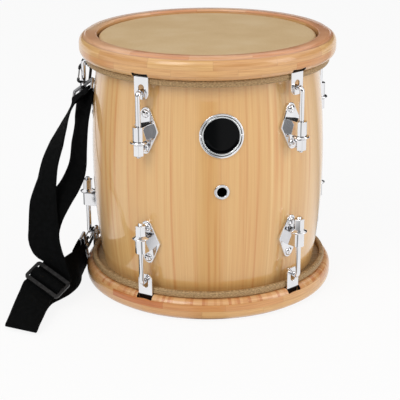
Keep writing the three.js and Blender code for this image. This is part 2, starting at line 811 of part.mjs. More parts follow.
// The ring hangs below the hook's base and turns on its stem.
function strapRingGeometry() {
  const top = -snapBase - snapBar / 2 - clearance;
  const windowTop = top - ringTopBar;
  const low = windowTop - ringInnerHeight - ringBar;
  const width = ringInnerWidth + 2 * ringBar;
  const outline = roundedRectangle(new THREE.Shape(), width, top - low, ringCorner, (top + low) / 2);
  const windowMiddle = windowTop - ringInnerHeight / 2;
  const windowCorner = ringCorner - ringBar / 2;
  outline.holes.push(
    roundedRectangle(new THREE.Path(), ringInnerWidth, ringInnerHeight, windowCorner, windowMiddle),
  );
  const options = { depth: ringBar, bevelEnabled: false, curveSegments: 2 };
  const frame = new THREE.ExtrudeGeometry(outline, options);
  frame.rotateX(Math.PI / 2).translate(0, ringBar / 2, 0);
  const boss = post(ringBossRadius, windowTop, top, ringBossSides);
  const bore = post(snapStemRadius + clearance, windowTop - clearance, top + clearance, snapSides);
  return geometryOf(solid(frame).add(solid(boss)).subtract(solid(bore)));
}

// One snap hook with its gate and ring, hung on the drum at the strap's azimuth.
function snapAssembly(end) {
  const place = snapPlaces[end];
  const station = atAzimuth(lugAzimuths.at(-1));
  const hang = new THREE.Group();
  hang.position.set(place.along, place.inward - rodCircleRadius, place.height);
  hang.rotation.set(
    THREE.MathUtils.degToRad(place.swing),
    THREE.MathUtils.degToRad(place.lean),
    THREE.MathUtils.degToRad(place.turn),
    "ZXY",
  );
  const eye = new THREE.Group();
  eye.position.y = snapPitch / 2 - snapReach;
  eye.rotation.z = THREE.MathUtils.degToRad(place.eyeTurn);
  eye.add(namedMesh(`${end}_strap_ring`, strapRingGeometry(), finishes.chrome));
  hang.add(
    namedMesh(`${end}_snap_hook`, snapHookGeometry(), finishes.blackMetal),
    namedMesh(`${end}_snap_gate`, snapGateGeometry(), finishes.chrome),
    eye,
  );
  station.add(hang);
  return { station, eye };
}

// A flat buckle with a bar across its middle, placed by its width and length directions.
function sliderBuckle() {
  const slotHeight = (sliderLength - 2 * sliderBar - sliderMiddleBar) / 2;
  const slotWidth = sliderWidth - 2 * sliderSideBar;
  const slotMiddle = (sliderMiddleBar + slotHeight) / 2;
  const outline = roundedRectangle(new THREE.Shape(), sliderWidth, sliderLength, sliderCorner, 0);
  for (const side of [-1, 1]) {
    outline.holes.push(
      roundedRectangle(new THREE.Path(), slotWidth, slotHeight, clearance, side * slotMiddle),
    );
  }
  const geometry = new THREE.ExtrudeGeometry(outline, {
    depth: sliderThickness,
    bevelEnabled: false,
    curveSegments: 3,
  });
  geometry.translate(0, 0, -sliderThickness / 2);
  const mesh = namedMesh("slider_buckle", geometry, finishes.slider);
  const { across, up, front } = sliderAxes();
  mesh.quaternion.setFromRotationMatrix(new THREE.Matrix4().makeBasis(across, up, front));
  mesh.position.set(...sliderPlace);
  return mesh;
}

function sliderAxes() {
  const across = new THREE.Vector3(...sliderAcross).normalize();
  const front = new THREE.Vector3().crossVectors(across, new THREE.Vector3(...sliderUp)).normalize();
  const up = new THREE.Vector3().crossVectors(front, across);
  return { across, up, front };
}

// A point of the webbing: where its middle line passes and which way its width lies.
function webbingPoint([x, y, z, widthX, widthY, widthZ]) {
  return { at: new THREE.Vector3(x, y, z), width: new THREE.Vector3(widthX, widthY, widthZ) };
}

function sliderPoint([along, out]) {
  const { across, up, front } = sliderAxes();
  const at = new THREE.Vector3(...sliderPlace).addScaledVector(up, along).addScaledVector(front, out);
  return { at, width: across };
}

// The webbing round a ring's bar: in along one side, half round and out along the other.
function roundRing(eye, leadIn, leadOut) {
  eye.updateWorldMatrix(true, false);
  const barHeight = -snapBase - snapBar / 2 - clearance - ringTopBar - ringInnerHeight - ringBar / 2;
  const radius = ringBar * Math.SQRT1_2 + clearance + strapThickness / 2;
  const width = new THREE.Vector3().setFromMatrixColumn(eye.matrixWorld, 0);
  const line = [
    point(radius, -leadIn),
    ...arc(0, 0, radius, 0, 180, strapLoopSteps),
    point(-radius, -leadOut),
  ];
  return line.map((p) => ({
    at: new THREE.Vector3(0, p.x, barHeight + p.y).applyMatrix4(eye.matrixWorld),
    width,
  }));
}

function strapWebbing(upperEye, lowerEye) {
  const run = [
    ...roundRing(lowerEye, strapSewnLength, strapLeads.lower),
    ...tailRun.map(webbingPoint),
    ...weaveOver.map(sliderPoint),
    ...upwardRun.map(webbingPoint),
    ...roundRing(upperEye, strapLeads.upperOut, strapLeads.upperIn).reverse(),
    ...returnRun.map(webbingPoint),
    ...weaveUnder.map(sliderPoint),
  ];
  const geometry = swept(
    rectangle(strapWidth, strapThickness),
    run.map((p) => p.at),
    run.map((p) => p.width),
  );
  return namedMesh("strap_webbing", geometry, finishes.webbing);
}

const drum = new THREE.Group();
const upperEnd = drumEnd("upper", 1);
const lowerEnd = drumEnd("lower", -1);
lowerEnd.rotation.y = Math.PI;
drum.add(
  shell(),
  upperEnd,
  lowerEnd,
  ventGrommet(),
  badge(),
  badgePin("badge_pin_left", -1),
  badgePin("badge_pin_right", 1),
);

drum.position.z = halfSpacing;

const upperSnap = snapAssembly("upper");
const lowerSnap = snapAssembly("lower");

const tambora = new THREE.Group();
tambora.add(
  drum,
  upperSnap.station,
  lowerSnap.station,
  sliderBuckle(),
  strapWebbing(upperSnap.eye, lowerSnap.eye),
);

export default tambora;
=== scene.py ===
"""The looks of a tambora: a short barrel drum with rawhide heads, tuning hardware and a clipped-on strap.

Sizes are in millimetres and are turned into metres when a piece is finished.
"""

from __future__ import annotations

import json
import logging
import math
from dataclasses import dataclass, field
from enum import Enum
from typing import Callable, Iterable, Sequence

import bmesh
import bpy
from mathutils import Matrix, Vector

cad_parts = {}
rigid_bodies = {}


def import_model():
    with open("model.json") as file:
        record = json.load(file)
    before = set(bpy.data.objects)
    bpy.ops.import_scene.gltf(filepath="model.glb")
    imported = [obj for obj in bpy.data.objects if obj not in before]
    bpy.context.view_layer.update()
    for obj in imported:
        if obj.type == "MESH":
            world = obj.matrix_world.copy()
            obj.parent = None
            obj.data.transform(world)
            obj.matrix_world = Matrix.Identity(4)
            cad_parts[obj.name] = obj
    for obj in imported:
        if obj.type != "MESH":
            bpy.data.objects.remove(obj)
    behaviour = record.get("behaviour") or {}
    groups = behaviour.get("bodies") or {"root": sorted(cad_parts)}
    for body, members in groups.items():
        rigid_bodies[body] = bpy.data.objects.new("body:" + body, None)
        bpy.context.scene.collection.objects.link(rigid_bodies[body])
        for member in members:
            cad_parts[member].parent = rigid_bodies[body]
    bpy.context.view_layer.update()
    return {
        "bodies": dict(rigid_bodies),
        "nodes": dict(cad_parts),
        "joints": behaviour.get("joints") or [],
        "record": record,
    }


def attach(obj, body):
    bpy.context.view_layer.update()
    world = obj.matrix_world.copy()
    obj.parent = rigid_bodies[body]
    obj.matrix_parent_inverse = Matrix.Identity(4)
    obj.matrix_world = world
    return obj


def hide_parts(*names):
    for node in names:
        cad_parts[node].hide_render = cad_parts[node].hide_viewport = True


LOG = logging.getLogger("tambora")
METRES = 0.001
Mesh = bmesh.types.BMesh
Socket = bpy.types.NodeSocket
Material = bpy.types.Material
Point = tuple[float, float]
Rows = tuple[tuple[float, ...], ...]


class End(Enum):
    """The two ends of the drum."""

    UPPER = "upper"
    LOWER = "lower"

    @property
    def sign(self) -> int:
        """1 for the upper end and -1 for the lower one."""
        return 1 if self is End.UPPER else -1


def shift(x: float = 0, y: float = 0, z: float = 0) -> Matrix:
    """A move along the three axes."""
    return Matrix.Translation((x, y, z))


def turned(degrees: float, axis: str = "Z") -> Matrix:
    """A turn about one axis."""
    return Matrix.Rotation(math.radians(degrees), 4, axis)


def moved(bm: Mesh, place: Matrix) -> Mesh:
    """Moves a mesh and gives it back."""
    bmesh.ops.transform(bm, matrix=place, verts=bm.verts)
    return bm


def verts_in(geometry: Iterable[object]) -> list[bmesh.types.BMVert]:
    """The vertices among vertices, edges and faces."""
    return [part for part in geometry if isinstance(part, bmesh.types.BMVert)]


def arc(
    x: float, y: float, radius: float, start: float, stop: float, steps: int, up: float | None = None
) -> list[Point]:
    """Points of an arc.

    Args:
        x, y: The arc's centre.
        radius: Its radius.
        start, stop: Its angles in degrees.
        steps: How many stretches it has.
        up: Its half height, where it is oval.

    Returns:
        The arc's points.
    """
    turns = [math.radians(start + (stop - start) * i / steps) for i in range(steps + 1)]
    return [(x + radius * math.cos(t), y + (up or radius) * math.sin(t)) for t in turns]


def rounded(half: float, low: float, high: float, corner: float) -> list[Point]:
    """A rectangle with round corners.

    Args:
        half: Half its width.
        low, high: Its two heights.
        corner: The radius of its corners.

    Returns:
        Its outline.
    """
    right, left, upper, lower = half - corner, corner - half, high - corner, low + corner
    corners = ((right, upper), (left, upper), (left, lower), (right, lower))
    return [point for i, (x, y) in enumerate(corners) for point in arc(x, y, corner, 90 * i, 90 * i + 90, 5)]


def round_section(radius: float, sides: int) -> list[Point]:
    """A round section of a number of sides."""
    return arc(0, 0, radius, 0, 360 * (sides - 1) / sides, sides - 1)


def draw_loop(bm: Mesh, points: Sequence[Vector], closed: bool = True) -> list[bmesh.types.BMEdge]:
    """Adds a line of vertices and the edges between them.

    Args:
        bm: The mesh that takes them.
        points: The line's points.
        closed: Whether the last point joins the first.

    Returns:
        The new edges.
    """
    verts = [bm.verts.new(p) for p in points]
    ends = verts[1:] + verts[:1] if closed else verts[1:]
    return [bm.edges.new(pair) for pair in zip(verts, ends)]


def lathe(profile: Sequence[Point], steps: int, closed: bool = True) -> Mesh:
    """Turns a profile of (radius, height) points about Z.

    Args:
        profile: The points, from one end of the line to the other.
        steps: How many stretches the full turn has.
        closed: Whether the profile is a ring's section, and not a line between two points on the axis.

    Returns:
        The closed mesh, its faces out.
    """
    bm = bmesh.new()
    edges = draw_loop(bm, [Vector((r, 0, z)) for r, z in profile], closed)
    about = {"cent": (0, 0, 0), "axis": (0, 0, 1), "angle": math.tau}
    bmesh.ops.spin(bm, geom=bm.verts[:] + edges, steps=steps, use_merge=True, **about)
    bmesh.ops.remove_doubles(bm, verts=bm.verts, dist=1e-4)
    bmesh.ops.recalc_face_normals(bm, faces=bm.faces)
    return bm


def plate(outline: Sequence[Point], holes: Sequence[Sequence[Point]], near: float, far: float) -> Mesh:
    """Cuts a plate in the XZ plane and gives it a thickness along Y.

    Args:
        outline: The plate's edge.
        holes: The edges of its holes.
        near, far: The Y of its two faces.

    Returns:
        The closed mesh, its faces out.
    """
    bm = bmesh.new()
    for line in (outline, *holes):
        draw_loop(bm, [Vector((x, near, z)) for x, z in line])
    bmesh.ops.triangle_fill(bm, use_beauty=True, use_dissolve=False, edges=bm.edges[:])
    made = bmesh.ops.extrude_face_region(bm, geom=bm.faces[:])
    bmesh.ops.translate(bm, vec=(0, far - near, 0), verts=verts_in(made["geom"]))
    bmesh.ops.recalc_face_normals(bm, faces=bm.faces)
    bmesh.ops.dissolve_limit(bm, angle_limit=math.radians(1), verts=bm.verts[:], edges=bm.edges[:])
    return bm


def round_off(bm: Mesh, edges: Sequence[bmesh.types.BMEdge], width: float, segments: int) -> None:
    """Rounds some edges.

    Args:
        bm: The mesh.
        edges: The edges.
        width: The rounding's width.
        segments: How many stretches it has.
    """
    manner = {"offset_type": "OFFSET", "profile": 0.5, "affect": "EDGES", "clamp_overlap": True}
    bmesh.ops.bevel(bm, geom=edges, offset=width, segments=segments, material=-1, **manner)


def soften(bm: Mesh, width: float, segments: int = 2, above: float = 35) -> None:
    """Rounds the edges whose faces turn by more than an angle.

    Args:
        bm: The mesh.
        width: The rounding's width.
        segments: How many stretches it has.
        above: The angle in degrees.
    """
    limit = math.radians(above)
    edges = [e for e in bm.edges if len(e.link_faces) == 2 and e.calc_face_angle(0) > limit]
    round_off(bm, edges, width, segments)


def frames_along(points: Sequence[Vector], widths: Sequence[Vector]) -> list[Matrix]:
    """Places for a section along a route.

    Args:
        points: The route.
        widths: Which way the section's x lies at each point.

    Returns:
        One matrix for each point.
    """
    made = []
    for i, (at, width) in enumerate(zip(points, widths)):
        tangent = (points[min(i + 1, len(points) - 1)] - points[max(i - 1, 0)]).normalized()
        x = width.normalized()
        y = tangent.cross(x).normalized()
        turn = Matrix((x, y, tangent)).transposed()
        made.append(Matrix.Translation(at) @ turn.to_4x4())
    return made


def sweep(section: Sequence[Point], places: Sequence[Matrix], sizes: Sequence[float] | None = None) -> Mesh:
    """Draws a section along a route by extruding it from place to place.

    Args:
        section: The section's points.
        places: Where it stands at each step.
        sizes: How large it is at each step.

    Returns:
        The closed mesh, with each vertex's place across and along it kept in layers.
    """
    sizes = sizes or [1.0] * len(places)
    bm = bmesh.new()
    across, through, along = (bm.verts.layers.float.new(name) for name in ("across", "through", "along"))
    edges = draw_loop(bm, [places[0] @ Vector((x * sizes[0], y * sizes[0], 0)) for x, y in section])
    for vert, (x, y) in zip(bm.verts, section):
        vert[across] = x
        vert[through] = y
    bmesh.ops.contextual_create(bm, geom=edges)
    run = 0.0
    for before, place, size in zip(places, places[1:], sizes[1:]):
        run += (place.translation - before.translation).length
        made = bmesh.ops.extrude_edge_only(bm, edges=edges)["geom"]
        edges = [part for part in made if isinstance(part, bmesh.types.BMEdge)]
        for vert in verts_in(made):
            vert.co = place @ Vector((vert[across] * size, vert[through] * size, 0))
            vert[along] = run
    bmesh.ops.contextual_create(bm, geom=edges)
    bmesh.ops.recalc_face_normals(bm, faces=bm.faces)
    return bm


def bar_along(
    points: Sequence[Vector], radius: float, sides: int, width: Point, sizes: Sequence[float] | None = None
) -> Mesh:
    """Draws a round bar along a line.

    Args:
        points: The line.
        radius: The bar's radius.
        sides: How many sides it has.
        width: The x and y of the direction in which its first side lies.
        sizes: How large it is at each point.

    Returns:
        The bar.
    """
    places = frames_along(points, [Vector((*width, 0))] * len(points))
    return sweep(round_section(radius, sides), places, sizes)


def smooth_run(points: Sequence[Vector], steps: int) -> list[Vector]:
    """A soft line through the given points.

    Args:
        points: The points.
        steps: How many stretches lie between two of them.

    Returns:
        The line's points.
    """
    line = []
    last = len(points) - 1
    for i in range(last):
        a, b, c, d = (points[min(max(i + k, 0), last)] for k in (-1, 0, 1, 2))
        span = (c - b).length
        leave = (c - a).normalized() * span
        arrive = (d - b).normalized() * span
        for t in (k / steps for k in range(steps)):
            ends = b * (2 * t**3 - 3 * t**2 + 1) + leave * (t**3 - 2 * t**2 + t)
            line.append(ends + c * (3 * t**2 - 2 * t**3) + arrive * (t**3 - t**2))
    return [*line, points[last].copy()]


def as_object(name: str, bm: Mesh) -> bpy.types.Object:
    """Puts a mesh into the scene.

    Args:
        name: The object's name.
        bm: The mesh, which is used up.

    Returns:
        The object.
    """
    mesh = bpy.data.meshes.new(name)
    bm.to_mesh(mesh)
    bm.free()
    obj = bpy.data.objects.new(name, mesh)
    bpy.context.scene.collection.objects.link(obj)
    return obj


def joined(parts: Iterable[Mesh]) -> Mesh:
    """Puts several closed meshes into one.

    Args:
        parts: The meshes, which are used up.

    Returns:
        One mesh that holds them all.
    """
    whole = bmesh.new()
    for part in parts:
        step = bpy.data.meshes.new("step")
        part.to_mesh(step)
        part.free()
        whole.from_mesh(step)
        bpy.data.meshes.remove(step)
    return whole


def carve(bm: Mesh, cutter: Mesh) -> Mesh:
    """Cuts one mesh out of another.

    Args:
        bm: The mesh that is cut.
        cutter: What is taken out of it.

    Returns:
        The cut mesh.
    """
    pair = [as_object("carving", part) for part in (bm, cutter)]
    knife = pair[0].modifiers.new("knife", "BOOLEAN")
    knife.object = pair[1]
    knife.operation = "DIFFERENCE"
    knife.solver = "EXACT"
    cut = bpy.data.meshes.new_from_object(pair[0].evaluated_get(bpy.context.evaluated_depsgraph_get()))
    made = bmesh.new()
    made.from_mesh(cut)
    bmesh.ops.remove_doubles(made, verts=made.verts, dist=1e-4)
    for obj in pair:
        bpy.data.objects.remove(obj)
    return made


@dataclass(frozen=True)
class DrumPlan:
    """The sizes that the drum's pieces share, measured from the drum's middle."""

    head_spacing: float = 327.0
    mid_radius: float = 152.3
    end_radius: float = 137.7
    wall: float = 9.0
    skin: float = 1.2
    gap: float = 0.3
    hoop_lip: float = 4.0
    hoop_height: float = 28.0
    rod_circle: float = 168.0
    rod_radius: float = 3.2
    claw_radius: float = 157.5
    lug_span: float = 29.0
    azimuths: tuple[float, ...] = (-36.0, 36.0, 108.0, 180.0, -108.0)

    @property
    def half(self) -> float:
        """Half the distance between the two heads."""
        return self.head_spacing / 2

    @property
    def middle(self) -> Matrix:
        """The place of the drum's middle."""
        return shift(z=self.half)

    @property
    def shell_half(self) -> float:
        """Half the shell's length."""
        return self.half - self.skin - self.gap

    @property
    def hoop_foot(self) -> float:
        """How far the hoops' inner faces are from the middle."""
        return self.half + self.hoop_lip - self.hoop_height

    def barrel(self, height: float) -> float:
        """The shell's outer radius at a height from the middle."""
        return self.mid_radius - (self.mid_radius - self.end_radius) * (height / self.shell_half) ** 2

    def half_place(self, end: End) -> Matrix:
        """Where an end stands that was made as the upper one."""
        return self.middle @ turned(0 if end is End.UPPER else 180, "Y")

    def station(self, end: End, azimuth: float) -> Matrix:
        """Where a piece stands that was made at the front of the upper end."""
        return self.half_place(end) @ turned(end.sign * azimuth)

    def lean(self, bm: Mesh, height: float) -> Mesh:
        """Lays a piece made round the origin, its front to -Y, on the shell.

        Args:
            bm: The piece.
            height: The height from the drum's middle.

        Returns:
            The same piece.
        """
        fall = self.barrel(height - self.lug_span) - self.barrel(height + self.lug_span)
        slope = math.atan2(fall, 2 * self.lug_span)
        return moved(bm, shift(0, -self.barrel(height), height) @ Matrix.Rotation(-slope, 4, "X"))

    def bend(self, verts: Iterable[bmesh.types.BMVert], lift: float) -> None:
        """Moves vertices onto the shell's outer face.

        Args:
            verts: The vertices.
            lift: How far over the face they stay.
        """
        for vert in verts:
            radius = self.barrel(vert.co.z) + lift
            vert.co.y = -math.sqrt(radius**2 - vert.co.x**2)


PLAN = DrumPlan()


def tone(*colour: int) -> tuple[float, ...]:
    """A display colour's red, green and blue as the plain light values that the shader takes."""
    return tuple(((c / 255 + 0.055) / 1.055) ** 2.4 if c > 10 else c / 255 / 12.92 for c in colour)


class NodeBoard:
    """The nodes of a material or world, added one by one."""

    def __init__(self, owner: Material | bpy.types.World, bare: bool = False) -> None:
        """Opens the owner's nodes.

        Args:
            owner: The material or world.
            bare: Whether its first nodes are taken out.
        """
        owner.use_nodes = True
        self.owner = owner
        self.tree = owner.node_tree
        if bare:
            self.tree.nodes.clear()

    def feed(self, socket: Socket, value: object) -> None:
        """Sets a socket to a value, or links another node's output to it.

        Args:
            socket: The socket.
            value: The value or the output.
        """
        if isinstance(value, Socket):
            self.tree.links.new(value, socket)
        else:
            socket.default_value = value

    def node(self, kind: str, inputs: dict | None = None, **settings: object) -> bpy.types.Node:
        """Adds a node.

        Args:
            kind: The node's type.
            inputs: What its inputs take, by name or number.
            settings: Its own settings.

        Returns:
            The node.
        """
        made = self.tree.nodes.new(kind)
        for key, value in settings.items():
            setattr(made, key, value)
        for key, value in (inputs or {}).items():
            self.feed(made.inputs[key], value)
        return made

    def maths(self, operation: str, *values: object) -> Socket:
        """One step of arithmetic on numbers or outputs."""
        return self.node("ShaderNodeMath", dict(enumerate(values)), operation=operation).outputs[0]

    def chain(self, operation: str, first: object, *others: object) -> Socket:
        """Takes numbers or outputs together one after the other.

        Args:
            operation: The step between two of them.
            first: The first one.
            others: The others.

        Returns:
            The result.
        """
        for value in others:
            first = self.maths(operation, first, value)
        return first

    def plus(self, *values: object) -> Socket:
        """The sum of numbers or outputs."""
        return self.chain("ADD", *values)

    def times(self, *values: object) -> Socket:
        """The product of numbers or outputs."""
        return self.chain("MULTIPLY", *values)

    def minus(self, a: object, b: object) -> Socket:
        """The first less the second."""
        return self.maths("SUBTRACT", a, b)

    def over(self, a: object, b: object) -> Socket:
        """One where the first is over the second."""
        return self.maths("GREATER_THAN", a, b)

    def under(self, a: object, b: object) -> Socket:
        """One where the first is under the second."""
        return self.maths("LESS_THAN", a, b)

    def off(self, a: object, b: object) -> Socket:
        """How far the first is from the second."""
        return self.maths("ABSOLUTE", self.minus(a, b))

    def square(self, x: Socket, y: Socket) -> Socket:
        """The square of the distance that two sides give."""
        return self.plus(self.times(x, x), self.times(y, y))

    def place(self) -> tuple[Socket, ...]:
        """The point on the object as a vector and as its x, y and z."""
        where = self.node("ShaderNodeTexCoord").outputs["Object"]
        return where, *self.node("ShaderNodeSeparateXYZ", {0: where}).outputs

    def azimuth(self, x: Socket, y: Socket) -> Socket:
        """The angle round the drum from its front, in radians."""
        return self.maths("ARCTAN2", x, self.times(y, -1.0))

    def vector(self, *values: object) -> Socket:
        """A vector of three numbers or outputs."""
        return self.node("ShaderNodeCombineXYZ", dict(enumerate(values))).outputs[0]

    def noise(self, vector: Socket, scale: float, detail: float = 3.0) -> Socket:
        """Cloudy noise from 0 to 1."""
        inputs = {"Vector": vector, "Scale": scale, "Detail": detail}
        return self.node("ShaderNodeTexNoise", inputs).outputs[0]

    def chance(self, *values: object) -> Socket:
        """A number from 0 to 1 for each whole step of three values."""
        inputs = {"Vector": self.vector(*values)}
        return self.node("ShaderNodeTexWhiteNoise", inputs, noise_dimensions="3D").outputs[0]

    def spread(self, noise: Socket, low: float, high: float) -> Socket:
        """Turns cloudy noise into values between two ends."""
        return self.node("ShaderNodeMapRange", {0: noise, 1: 0.3, 2: 0.7, 3: low, 4: high}).outputs[0]

    def gradient(self, value: Socket, stops: Sequence[Sequence[float]], steps: bool = False) -> Socket:
        """Plain light values along a value.

        Args:
            value: The value.
            stops: Rows of a position, red, green and blue.
            steps: Whether the colours change at once.

        Returns:
            The colour.
        """
        made = self.node("ShaderNodeValToRGB", {0: value})
        made.color_ramp.interpolation = "CONSTANT" if steps else "LINEAR"
        elements = made.color_ramp.elements
        while len(elements) < len(stops):
            elements.new(0.5)
        for element, (position, *colour) in zip(elements, stops):
            element.position = position
            element.color = (*colour, 1)
        return made.outputs[0]

    def ramp(self, value: Socket, stops: Rows, steps: bool = False) -> Socket:
        """Display colours along a value, given as a gradient is."""
        return self.gradient(value, [(position, *tone(*colour)) for position, *colour in stops], steps)

    def mix(self, share: object, a: object, b: object, how: str = "MIX") -> Socket:
        """Mixes two colours.

        Args:
            share: How much the second one counts.
            a, b: The colours.
            how: The way they are mixed.

        Returns:
            The colour.
        """
        made = self.node("ShaderNodeMix", data_type="RGBA", blend_type=how)
        for socket, value in zip((made.inputs[0], made.inputs[6], made.inputs[7]), (share, a, b)):
            self.feed(socket, (*value, 1) if isinstance(value, tuple) else value)
        return made.outputs[2]

    def relief(self, height: Socket, strength: float, distance: float) -> None:
        """Gives the shader a bump.

        Args:
            height: The bump's height from 0 to 1.
            strength: How strong it shows.
            distance: Its depth in metres.
        """
        bump = self.node("ShaderNodeBump", {"Height": height, "Strength": strength, "Distance": distance})
        self.finish(Normal=bump.outputs[0])

    def finish(self, **values: object) -> Material:
        """Sets the shader's own sockets.

        Args:
            values: What the sockets take, by name with underscores for spaces.

        Returns:
            The material.
        """
        for key, value in values.items():
            self.feed(self.tree.nodes["Principled BSDF"].inputs[key.replace("_", " ")], value)
        return self.owner

    def shown(self) -> Socket:
        """One where the camera, a reflection or clear glass looks, and zero elsewhere.

        Returns:
            The share.
        """
        path = self.node("ShaderNodeLightPath").outputs
        kinds = ("Is Camera Ray", "Is Glossy Ray", "Is Transmission Ray")
        return self.chain("MAXIMUM", *[path[kind] for kind in kinds])

    def mirrored(self, value: Socket, greys: Sequence[Point]) -> Socket:
        """White, with greys along a value that only mirrors see.

        Args:
            value: The value.
            greys: Pairs of a position and a grey.

        Returns:
            The colour.
        """
        seen = self.gradient(value, [(position, grey, grey, grey) for position, grey in greys])
        glossy = self.node("ShaderNodeLightPath").outputs["Is Glossy Ray"]
        return self.mix(glossy, (1.0, 1.0, 1.0), seen)


def board_for(name: str) -> NodeBoard:
    """A new material's board."""
    return NodeBoard(bpy.data.materials.new(name))


@dataclass(frozen=True)
class StaveWood:
    """Clear lacquer over pale staves, each with its own tone and upright grain."""

    staves: int = 30
    seam_from: float = 0.491
    grains: Rows = ((150.0, 7.0), (26.0, 3.2))
    seam: tuple[int, int, int] = (176, 128, 80)
    base: Rows = ((0.0, 224, 178, 114), (0.5, 231, 189, 126), (1.0, 235, 196, 136))
    streak: Rows = ((0.3, 232, 206, 172), (0.6, 255, 252, 246))
    figure: Rows = ((0.3, 238, 200, 164), (0.46, 250, 240, 226), (0.7, 255, 255, 250))

    def material(self) -> Material:
        """Builds the material.

        Returns:
            The material.
        """
        board = board_for("stave_wood")
        _, x, y, z = board.place()
        angle = board.azimuth(x, y)
        count = board.times(angle, self.staves / math.tau)
        stave = board.maths("FLOOR", count)
        seam = board.over(board.off(board.maths("FRACT", count), 0.5), self.seam_from)
        hue = board.chance(stave, 3.0, 0.0)
        fine, broad = (
            board.noise(board.vector(board.times(angle, across), stave, board.times(z, up)), 1.0)
            for across, up in self.grains
        )
        colour = board.mix(0.42, board.ramp(hue, self.base), board.ramp(fine, self.streak), "MULTIPLY")
        colour = board.mix(0.8, colour, board.ramp(broad, self.figure), "MULTIPLY")
        colour = board.mix(board.times(seam, 0.12), colour, tone(*self.seam))
        board.relief(board.minus(board.times(fine, 0.2), seam), 0.12, 0.0004)
        return board.finish(
            Base_Color=colour, Roughness=0.4, Coat_Weight=1.0, Coat_Roughness=0.03, Coat_IOR=1.6
        )


@dataclass(frozen=True)
class HoopWood:
    """Laminated hoops: layers of finger-jointed blocks of pale and red wood."""

    layers: tuple[float, ...] = (0.1450, 0.1535, 0.1645)
    glue_line: float = 0.00022
    blocks: int = 13
    joint_from: float = 0.4955
    comb: float = 44.0
    grain: Point = (4.0, 700.0)
    pocket_reach: float = 0.1638
    pocket_top: float = 0.153
    pocket_share: float = 0.0537
    pale: Rows = ((0.0, 230, 184, 122), (0.4, 222, 170, 112), (0.7, 226, 178, 126))
    red: Rows = ((0.0, 226, 176, 116), (0.38, 216, 154, 92), (0.66, 204, 126, 66), (0.84, 220, 162, 102))
    crown: Rows = ((0.0, 230, 178, 134), (0.45, 222, 160, 114), (0.8, 234, 190, 146))
    teeth: Rows = ((0.0, 226, 176, 120), (0.5, 218, 160, 102), (0.8, 206, 138, 82))
    veil: Rows = ((0.3, 214, 186, 160), (0.62, 255, 255, 255))
    glue: tuple[int, int, int] = (128, 74, 38)
    shade: tuple[int, int, int] = (30, 16, 8)

    def pocket_shade(self, board: NodeBoard, x: Socket, y: Socket, height: Socket, angle: Socket) -> Socket:
        """One inside the claws' pockets, where the wood gets painted shade.

        Args:
            board: The material's nodes.
            x, y: The place on the drum.
            height: The distance from the drum's middle.
            angle: The angle round the drum.

        Returns:
            The share of painted shade.
        """
        turn = board.maths("FRACT", board.times(angle, len(PLAN.azimuths) / math.tau))
        near = board.under(board.off(turn, 0.5), self.pocket_share)
        inside = board.under(board.square(x, y), self.pocket_reach**2)
        return board.times(near, inside, board.under(height, self.pocket_top))

    def material(self) -> Material:
        """Builds the material.

        Returns:
            The material.
        """
        board = board_for("hoop_wood")
        _, x, y, z = board.place()
        angle = board.azimuth(x, y)
        middle = board.minus(z, PLAN.half * METRES)
        height = board.maths("ABSOLUTE", middle)
        side = board.maths("SIGN", middle)
        layer = board.plus(*[board.over(height, edge) for edge in self.layers])
        lines = [board.under(board.off(height, edge), self.glue_line) for edge in self.layers]
        line = board.chain("MAXIMUM", *lines)
        seed = board.plus(board.times(layer, 1.37), board.times(side, 0.41))
        count = board.plus(board.times(angle, self.blocks / math.tau), seed)
        block = board.maths("FLOOR", count)
        joint = board.over(board.off(board.maths("FRACT", count), 0.5), self.joint_from)
        hue = board.chance(block, layer, side)
        comb = board.chance(board.maths("FLOOR", board.times(angle, self.comb)), layer, side)
        toothed = board.times(board.under(side, 0.0), board.under(layer, 0.5))
        across, up = self.grain
        grain = board.vector(board.times(angle, across), block, board.times(height, up))
        grain = board.noise(grain, 1.0, 4.0)
        pale, red, crown = (board.ramp(hue, stops, True) for stops in (self.pale, self.red, self.crown))
        colour = board.mix(board.maths("COMPARE", layer, 1.0, 0.1), pale, red)
        colour = board.mix(board.over(layer, 2.5), colour, crown)
        colour = board.mix(toothed, colour, board.ramp(comb, self.teeth, True))
        colour = board.mix(0.6, colour, board.ramp(grain, self.veil), "MULTIPLY")
        mark = board.times(board.maths("MAXIMUM", line, board.times(joint, 0.5)), 0.3)
        colour = board.mix(mark, colour, tone(*self.glue))
        # Painted shade: the wood inside the claws' pockets is mixed towards the dark shade colour.
        colour = board.mix(self.pocket_shade(board, x, y, height, angle), colour, tone(*self.shade))
        board.relief(board.minus(board.times(grain, 0.25), line), 0.15, 0.0004)
        return board.finish(Base_Color=colour, Roughness=0.36, Coat_Weight=0.6, Coat_Roughness=0.1)


